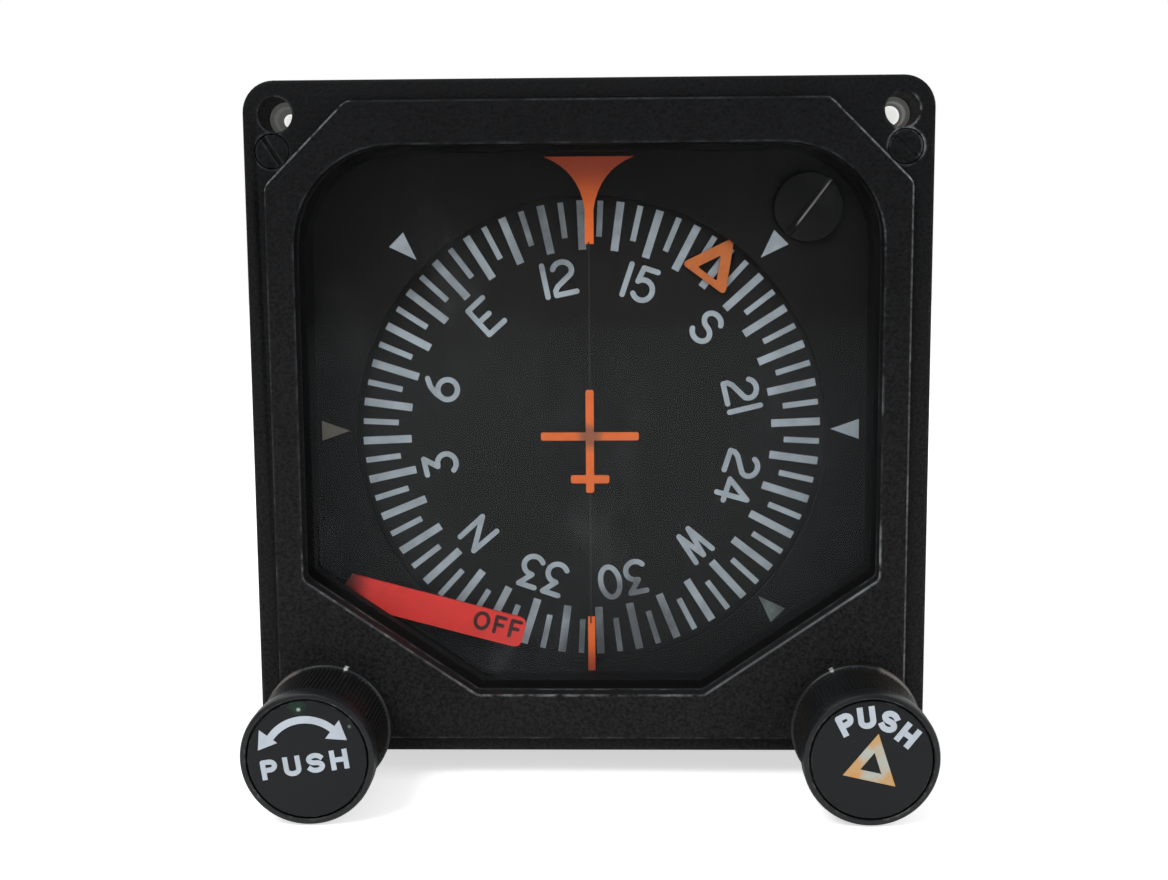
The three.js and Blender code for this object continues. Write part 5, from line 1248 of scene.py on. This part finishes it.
# %% Knob profiles
GRIP, RIM, BASE, BORE, HUB, SEAT, CAP = 7.4, 7.85, 7.9, 5.2, 1.67, 7.1, 6.95
RIM_BACK, BASE_FRONT = KNOB_FRONT + 2.45, KNOB_BACK - 1.45
CAP_FRONT = KNOB_FRONT + 0.1
BODY_PROFILE = [
    (0, KNOB_FRONT + 1.25), (SEAT, KNOB_FRONT + 1.25), (SEAT, KNOB_FRONT + 0.12), (SEAT + 0.1, KNOB_FRONT),
    (7.42, KNOB_FRONT), (RIM - 0.13, KNOB_FRONT + 0.16), (RIM, KNOB_FRONT + 0.5), (RIM, KNOB_FRONT + 2.2),
    (RIM - 0.07, KNOB_FRONT + 2.36), (GRIP, RIM_BACK), (GRIP, BASE_FRONT), (BASE - 0.15, KNOB_BACK - 1.36),
    (BASE, KNOB_BACK - 1.2), (BASE, KNOB_BACK - 0.12), (BASE - 0.12, KNOB_BACK), (BORE + 0.1, KNOB_BACK),
    (BORE, KNOB_BACK - 0.1), (BORE, KNOB_BACK - 6), (HUB, KNOB_BACK - 6), (HUB, KNOB_BACK - 10),
    (0, KNOB_BACK - 10)]
CAP_PROFILE = [(0, CAP_FRONT), (CAP - 0.45, CAP_FRONT), (CAP - 0.09, CAP_FRONT + 0.06),
               (CAP, CAP_FRONT + 0.2), (CAP, CAP_FRONT + 1), (0, CAP_FRONT + 1)]
print("knobs", 2 * BASE, "mm across")

# %% Knob bodies
RIBS, RIB_LENGTH = 96, BASE_FRONT - RIM_BACK + 0.25
SMOOTH_TURNED = 30
KNOB_SIDES = {"sync": -1, "heading": 1}


def knob(side, s):
    """Body, ribs and face of one knob; returns the number of faces of its ribs."""
    x, rides = s * KNOB_X, f"{side}_knob"
    body = turned(f"{side}_knob_body", BODY_PROFILE, x, KNOB_Z, 112)
    middle = (RIM_BACK + BASE_FRONT + 0.05) / 2
    ribs = bars_round(f"{side}_knob_ribs", KNOB_BLACK, (x, middle, KNOB_Z), 0, RIBS,
                      Radius=GRIP + 0.02, Length=0.5, Width=0.26, Depth=RIB_LENGTH)
    for made in (frozen(body, SMOOTH_TURNED), bevelled(ribs, 0.08)):
        dress(made, KNOB_BLACK, rides, "knob_plastic", rides)
    cap = frozen(turned(f"{side}_knob_face", CAP_PROFILE, x, KNOB_Z), SMOOTH_TURNED)
    dress(cap, FACE_BLACK, rides, "knob_plastic", f"{side}_knob_cap")
    return len(ribs.data.polygons)


print("rib faces:", [knob(side, s) for side, s in KNOB_SIDES.items()])

# %% [markdown]
# ### What is printed on the knobs
# The left knob turns the card when it is pushed, so it carries a double arrow. The right one moves the bug
# and carries the bug's triangle. Both say PUSH, a plain control word like ON or OFF.

# %% Knob arrow
FILM = (CAP_FRONT - 0.07, CAP_FRONT + 0.03)
ARROW_RADIUS = 4.93


def arrow_head(tip, way, length, half):
    """A triangle whose tip points a way, just proud of the arrow's line."""
    ahead = Vector(way).normalized()
    side, root = Vector((-ahead.y, ahead.x)) * half, Vector(tip) - ahead * length
    return outward(prism("head", [tip, tuple(root + side), tuple(root - side)], FILM[0] - 0.008, FILM[1]))


def double_arrow():
    arc = bow(-0.06, -0.21, ARROW_RADIUS, ARROW_RADIUS, start=147, end=49, steps=30)
    line = ribbons("sync_arrow", [arc], 0.85, *FILM)
    parts = [line, arrow_head(tip=(-5.6, 1.07), way=(-1.18, -1.6), length=2.05, half=1.27),
             arrow_head(tip=(4.7, 2.33), way=(1.64, -1.23), length=2.1, half=1.36)]
    with bpy.context.temp_override(active_object=line, selected_editable_objects=parts):
        bpy.ops.object.join()
    line.data.transform(Matrix.Translation((-KNOB_X * MM, 0, KNOB_Z * MM)))
    return line


dress(double_arrow(), KNOB_INK, "sync_knob", "knob_plastic")
print("arrow printed")

# %% Knob words and triangle
CURVED_PLACES = [(-2.98, 4.25, 27), (-0.68, 5.0, 8), (1.88, 4.55, -20), (4.0, 2.95, -38)]
TRIANGLE, TRIANGLE_LINE = [(-3.3, -1.72, 0), (2.68, -3.05, 0), (0.69, 3.14, 0)], 1.08


def straight_word():
    lines = moved(lettered("PUSH", height=2.05, spacing=0.46, wide=1.4), 8.5, -0.27, -0.58)
    return ribbons("sync_word", moved(lines, 0, -KNOB_X, KNOB_Z), 0.58, *FILM, True)


def curved_word():
    lines = lettered("PUSH", height=2.2, wide=1.24, places=CURVED_PLACES)
    return ribbons("heading_word", moved(lines, 0, KNOB_X, KNOB_Z), 0.68, *FILM, True)


def printed_triangle():
    made = prism("heading_triangle", [(x, z) for x, z, _ in TRIANGLE], *FILM)
    inner = [(x, z) for x, z, _ in grown(TRIANGLE, -TRIANGLE_LINE)]
    booled(made, "DIFFERENCE", prism("hole", inner, FILM[0] - 1, FILM[1] + 1))
    made.data.transform(Matrix.Translation((KNOB_X * MM, 0, KNOB_Z * MM)))
    return made


dress(straight_word(), KNOB_INK, "sync_knob", "knob_plastic")
dress(curved_word(), KNOB_INK, "heading_knob", "knob_plastic")
dress(printed_triangle(), WORN_ORANGE, "heading_knob", "knob_plastic")
print("knobs printed")

# %% [markdown]
# ## The case and its cover
# The can is deep drawn and painted satin black, and the cover is a flat casting held by four screws. Each
# screw has a broad cheese head with a worn slot, turned as it happened to stop.

# %% Case and cover
refined("case", CASE_BLACK, "case_paint", 0.5)
refined("rear_cover", CASE_BLACK, "case_paint", 0.4)
print("case and cover painted")

# %% Four cover screws
COVER_X, COVER_BACK, HEAD, HEAD_RADIUS, SHANK, SHANK_RADIUS = 36.3, 116.1, 1.8, 2.7, 9, 1.4


def cover_screw(index, x, z, turn):
    seat = COVER_BACK - HEAD
    made = turned(f"cover_screw_{index}_finished", [
        (0, seat - SHANK), (SHANK_RADIUS, seat - SHANK), (SHANK_RADIUS, seat), (HEAD_RADIUS, seat),
        (HEAD_RADIUS, COVER_BACK - 0.7), (HEAD_RADIUS - 0.45, COVER_BACK - 0.2), (1.2, COVER_BACK),
        (0, COVER_BACK)], x, z, SMALL_SIDES)
    slotted(made, (x, z), turn, half=4, width=0.8, front=COVER_BACK - 0.8, floor=COVER_BACK + 1)
    return dress(bevelled(made, 0.08), STEEL, "housing", "steel", f"cover_screw_{index}")


for index, (x, z) in enumerate(((-1, -1), (1, -1), (1, 1), (-1, 1)), 1):
    cover_screw(index, x * COVER_X, z * COVER_X, 57 * index)
print("cover held by four screws")

# %% [markdown]
# ## Rear connector
# The shell is plated and the insert is a black moulding. Eight pins stand in a ring round one in the middle.
# They are one shape repeated, so Geometry Nodes put them on the points of a circle and its centre.

# %% Connector
PIN_CIRCLE, PIN_RADIUS, PIN_LENGTH, PIN_FOOT, TIP_SHARE = 6, 0.6, 4.3, 118.2, 0.14
INSERT, INSERT_FRONT, INSERT_BACK, RECESS = 8.6, 110, 119, 118.4


def connector_block():
    """A disc with eight recesses round the pins and a key at its top."""
    made = turned("connector_insert_finished", [
        (0, INSERT_FRONT), (INSERT, INSERT_FRONT), (INSERT, INSERT_BACK - 0.3), (INSERT - 0.2, INSERT_BACK),
        (0, INSERT_BACK)], sides=72)
    recesses = [prism("recess", ring(1.15, 24, *place), RECESS, INSERT_BACK + 1)
                for place in ring(PIN_CIRCLE, 8)]
    key = prism("key", ring(1.6, 32, 0, INSERT), INSERT_FRONT - 1, INSERT_BACK + 1)
    booled(made, "DIFFERENCE", *recesses, key)
    return dress(made, CHIP_BLACK, "housing", "gasket_rubber", "connector_insert")


refined("connector_shell", ALUMINIUM, "aluminium", 0.15)
connector_block()
print("connector shell and insert")

# %% Connector pins
def connector_pins():
    g = Grower("pin_tree", Count=8, Circle=PIN_CIRCLE * MM, Radius=PIN_RADIUS * MM, Length=PIN_LENGTH * MM)
    radius, length = g.value("Radius"), g.value("Length")
    shaft = length * (1 - TIP_SHARE)
    rod = g.node("MeshCone", {
        "Vertices": 20, "Side Segments": 1, "Radius Top": radius, "Radius Bottom": radius, "Depth": shaft})
    tip = g.node("MeshCone", {
        "Vertices": 20, "Radius Top": radius * 0.45, "Radius Bottom": radius, "Depth": length * TIP_SHARE})
    pin = g.both(rod, g.node("Transform", {"Geometry": tip, "Translation": g.vector(Z=shaft)}))
    circle = g.node("MeshCircle", {"Vertices": g.value("Count"), "Radius": g.value("Circle")})
    spots = g.both(circle, g.node("MeshLine", {"Count": 1}))
    spread = g.node("InstanceOnPoints", {"Points": spots, "Instance": pin})
    lay = g.node("Transform", {
        "Geometry": spread, "Rotation": (-math.pi / 2, 0, 0), "Translation": (0, PIN_FOOT * MM, 0)})
    return dress(g.grow("connector_pins", lay, BRASS), BRASS, "housing", "brass")


connector_pins()
print("nine pins")

# %% [markdown]
# ## The works inside
# Nothing of the works shows from outside, but each piece gets the finish of its metal. The return springs
# are wound wire. One Geometry Nodes tree draws the coil as a spiral and gives it a round section.

# %% Works and their metals
coat(STEEL, "card_bearing", "sync_shaft", "heading_shaft", "sync_set_screw", "heading_set_screw",
     "flag_arbor", "gimbal_top_bearing", "gimbal_bottom_bearing", "rotor_front_bearing", "rotor_rear_bearing")
coat(BRASS, "card_gear", "bug_ring_gear", "card_bevel_gear", "gimbal_bevel_gear", "sync_idler_gear",
     "heading_idler_gear", "sync_bushing", "heading_bushing", "rotor", "slip_rings")
coat(ALUMINIUM, "gyro_frame", "outer_gimbal", "inner_gimbal", "sync_gear_carrier", "heading_gear_carrier")
coat(LACQUER, "brush_block", "transformer", "flag_motor")
coat(BOARD, "circuit_board")
print("works coated")

# %% Return springs
SPRING_FRONT, SPRING_BACK, SPRING_RADIUS, SPRING_WIRE, SPRING_TURNS = -9.2, -2.1, 3.3, 0.5, 6


def return_spring(side, s):
    height = SPRING_BACK - SPRING_FRONT - SPRING_WIRE
    g = Grower(f"{side}_spring_tree", Turns=SPRING_TURNS, Radius=SPRING_RADIUS * MM, Height=height * MM,
               Wire=SPRING_WIRE / 2 * MM)
    radius = g.value("Radius")
    coil = g.node("CurveSpiral", {
        "Resolution": 28, "Rotations": g.value("Turns"), "Start Radius": radius, "End Radius": radius,
        "Height": g.value("Height")})
    section = g.node("CurvePrimitiveCircle", {"Resolution": 10, "Radius": g.value("Wire")})
    rod = g.node("CurveToMesh", {"Curve": coil, "Profile Curve": section, "Fill Caps": True})
    place = Vector((s * KNOB_X, SPRING_FRONT + SPRING_WIRE / 2, KNOB_Z)) * MM
    lay = g.node("Transform", {"Geometry": rod, "Rotation": (-math.pi / 2, 0, 0), "Translation": place})
    return dress(g.grow(f"{side}_spring_wire", lay, STEEL), STEEL, "housing", "steel", f"{side}_spring")


for side, s in KNOB_SIDES.items():
    return_spring(side, s)
print("springs wound")

# %% [markdown]
# ## Floor, world and lamps
# The photograph is a studio shot on white. Rays straight from the camera see white. Reflected rays see a
# room that is dark in front, where the camera stands, so the glass stays clear over the dial. A large lamp
# at the upper left draws the edges, and a weaker one from the right opens the shadows.

# %% Floor
FLOOR_Z, FLOOR_HALF, FLOOR_FRONT, FLOOR_BACK = -44.85, 1500, -1200, 1800


def floor_white():
    """Near white, with a glow that only the camera sees, so that the floor's shadow stays."""
    f = Finish("floor_white", rgb(246, 246, 246), 0.7, Emission_Strength=0.62)
    f.link("Emission Color", f.node("LightPath", out="Is Camera Ray"))
    return f.paint(f.mix(rgb(244, 244, 244), rgb(248, 248, 248), f.noise(30)))


corners = strip(FLOOR_HALF, FLOOR_FRONT, FLOOR_BACK)
floor = placed("floor", [(x, y, FLOOR_Z) for x, y in corners], [(0, 1, 2, 3)])
painted(floor, floor_white())
print("floor at", FLOOR_Z, "mm")

# %% World
def studio():
    """White to the camera, a dark front in mirrors, and an even grey light on what is dull."""
    world = bpy.data.worlds.new("studio")
    bpy.context.scene.world = world
    world.use_nodes = True
    w = Desk(world.node_tree)
    w.tree.nodes.clear()
    where = w.node("TexCoord", out="Generated")
    ahead, up = (w.node("SeparateXYZ", {"Vector": where}, axis) for axis in "YZ")
    straight, mirrored, through = (
        w.node("LightPath", out=f"Is {kind} Ray") for kind in ("Camera", "Glossy", "Transmission"))
    room = 0.1 + ahead.step(-0.3, 0.6) * 0.65 + up.step(0.3, 0.9) * 0.4
    seen = straight.most(through)
    level = seen + (1 - seen) * (mirrored * room + (1 - mirrored) * 0.55)
    w.node("OutputWorld", {"Surface": w.node("Background", {"Color": (1, 1, 1, 1), "Strength": level})})


studio()
bpy.context.scene.view_settings.view_transform = "Standard"
print("white to the camera")

# %% Lamps
AIM = Vector((0, 0, -5)) * MM


def lamp(name, place, size, watts):
    data = bpy.data.lights.new(name, "AREA")
    data.shape, data.size, data.energy = "DISK", size, watts
    made = bpy.data.objects.new(name, data)
    bpy.context.scene.collection.objects.link(made)
    aim = AIM - Vector(place)
    made.matrix_world = Matrix.LocRotScale(Vector(place), aim.to_track_quat("-Z", "Y"), None)


lamp("key", (-0.35, -0.45, 0.6), 0.4, 4.2)
lamp("fill", (0.6, -0.35, 0.3), 0.5, 1.4)
print("two soft lamps")
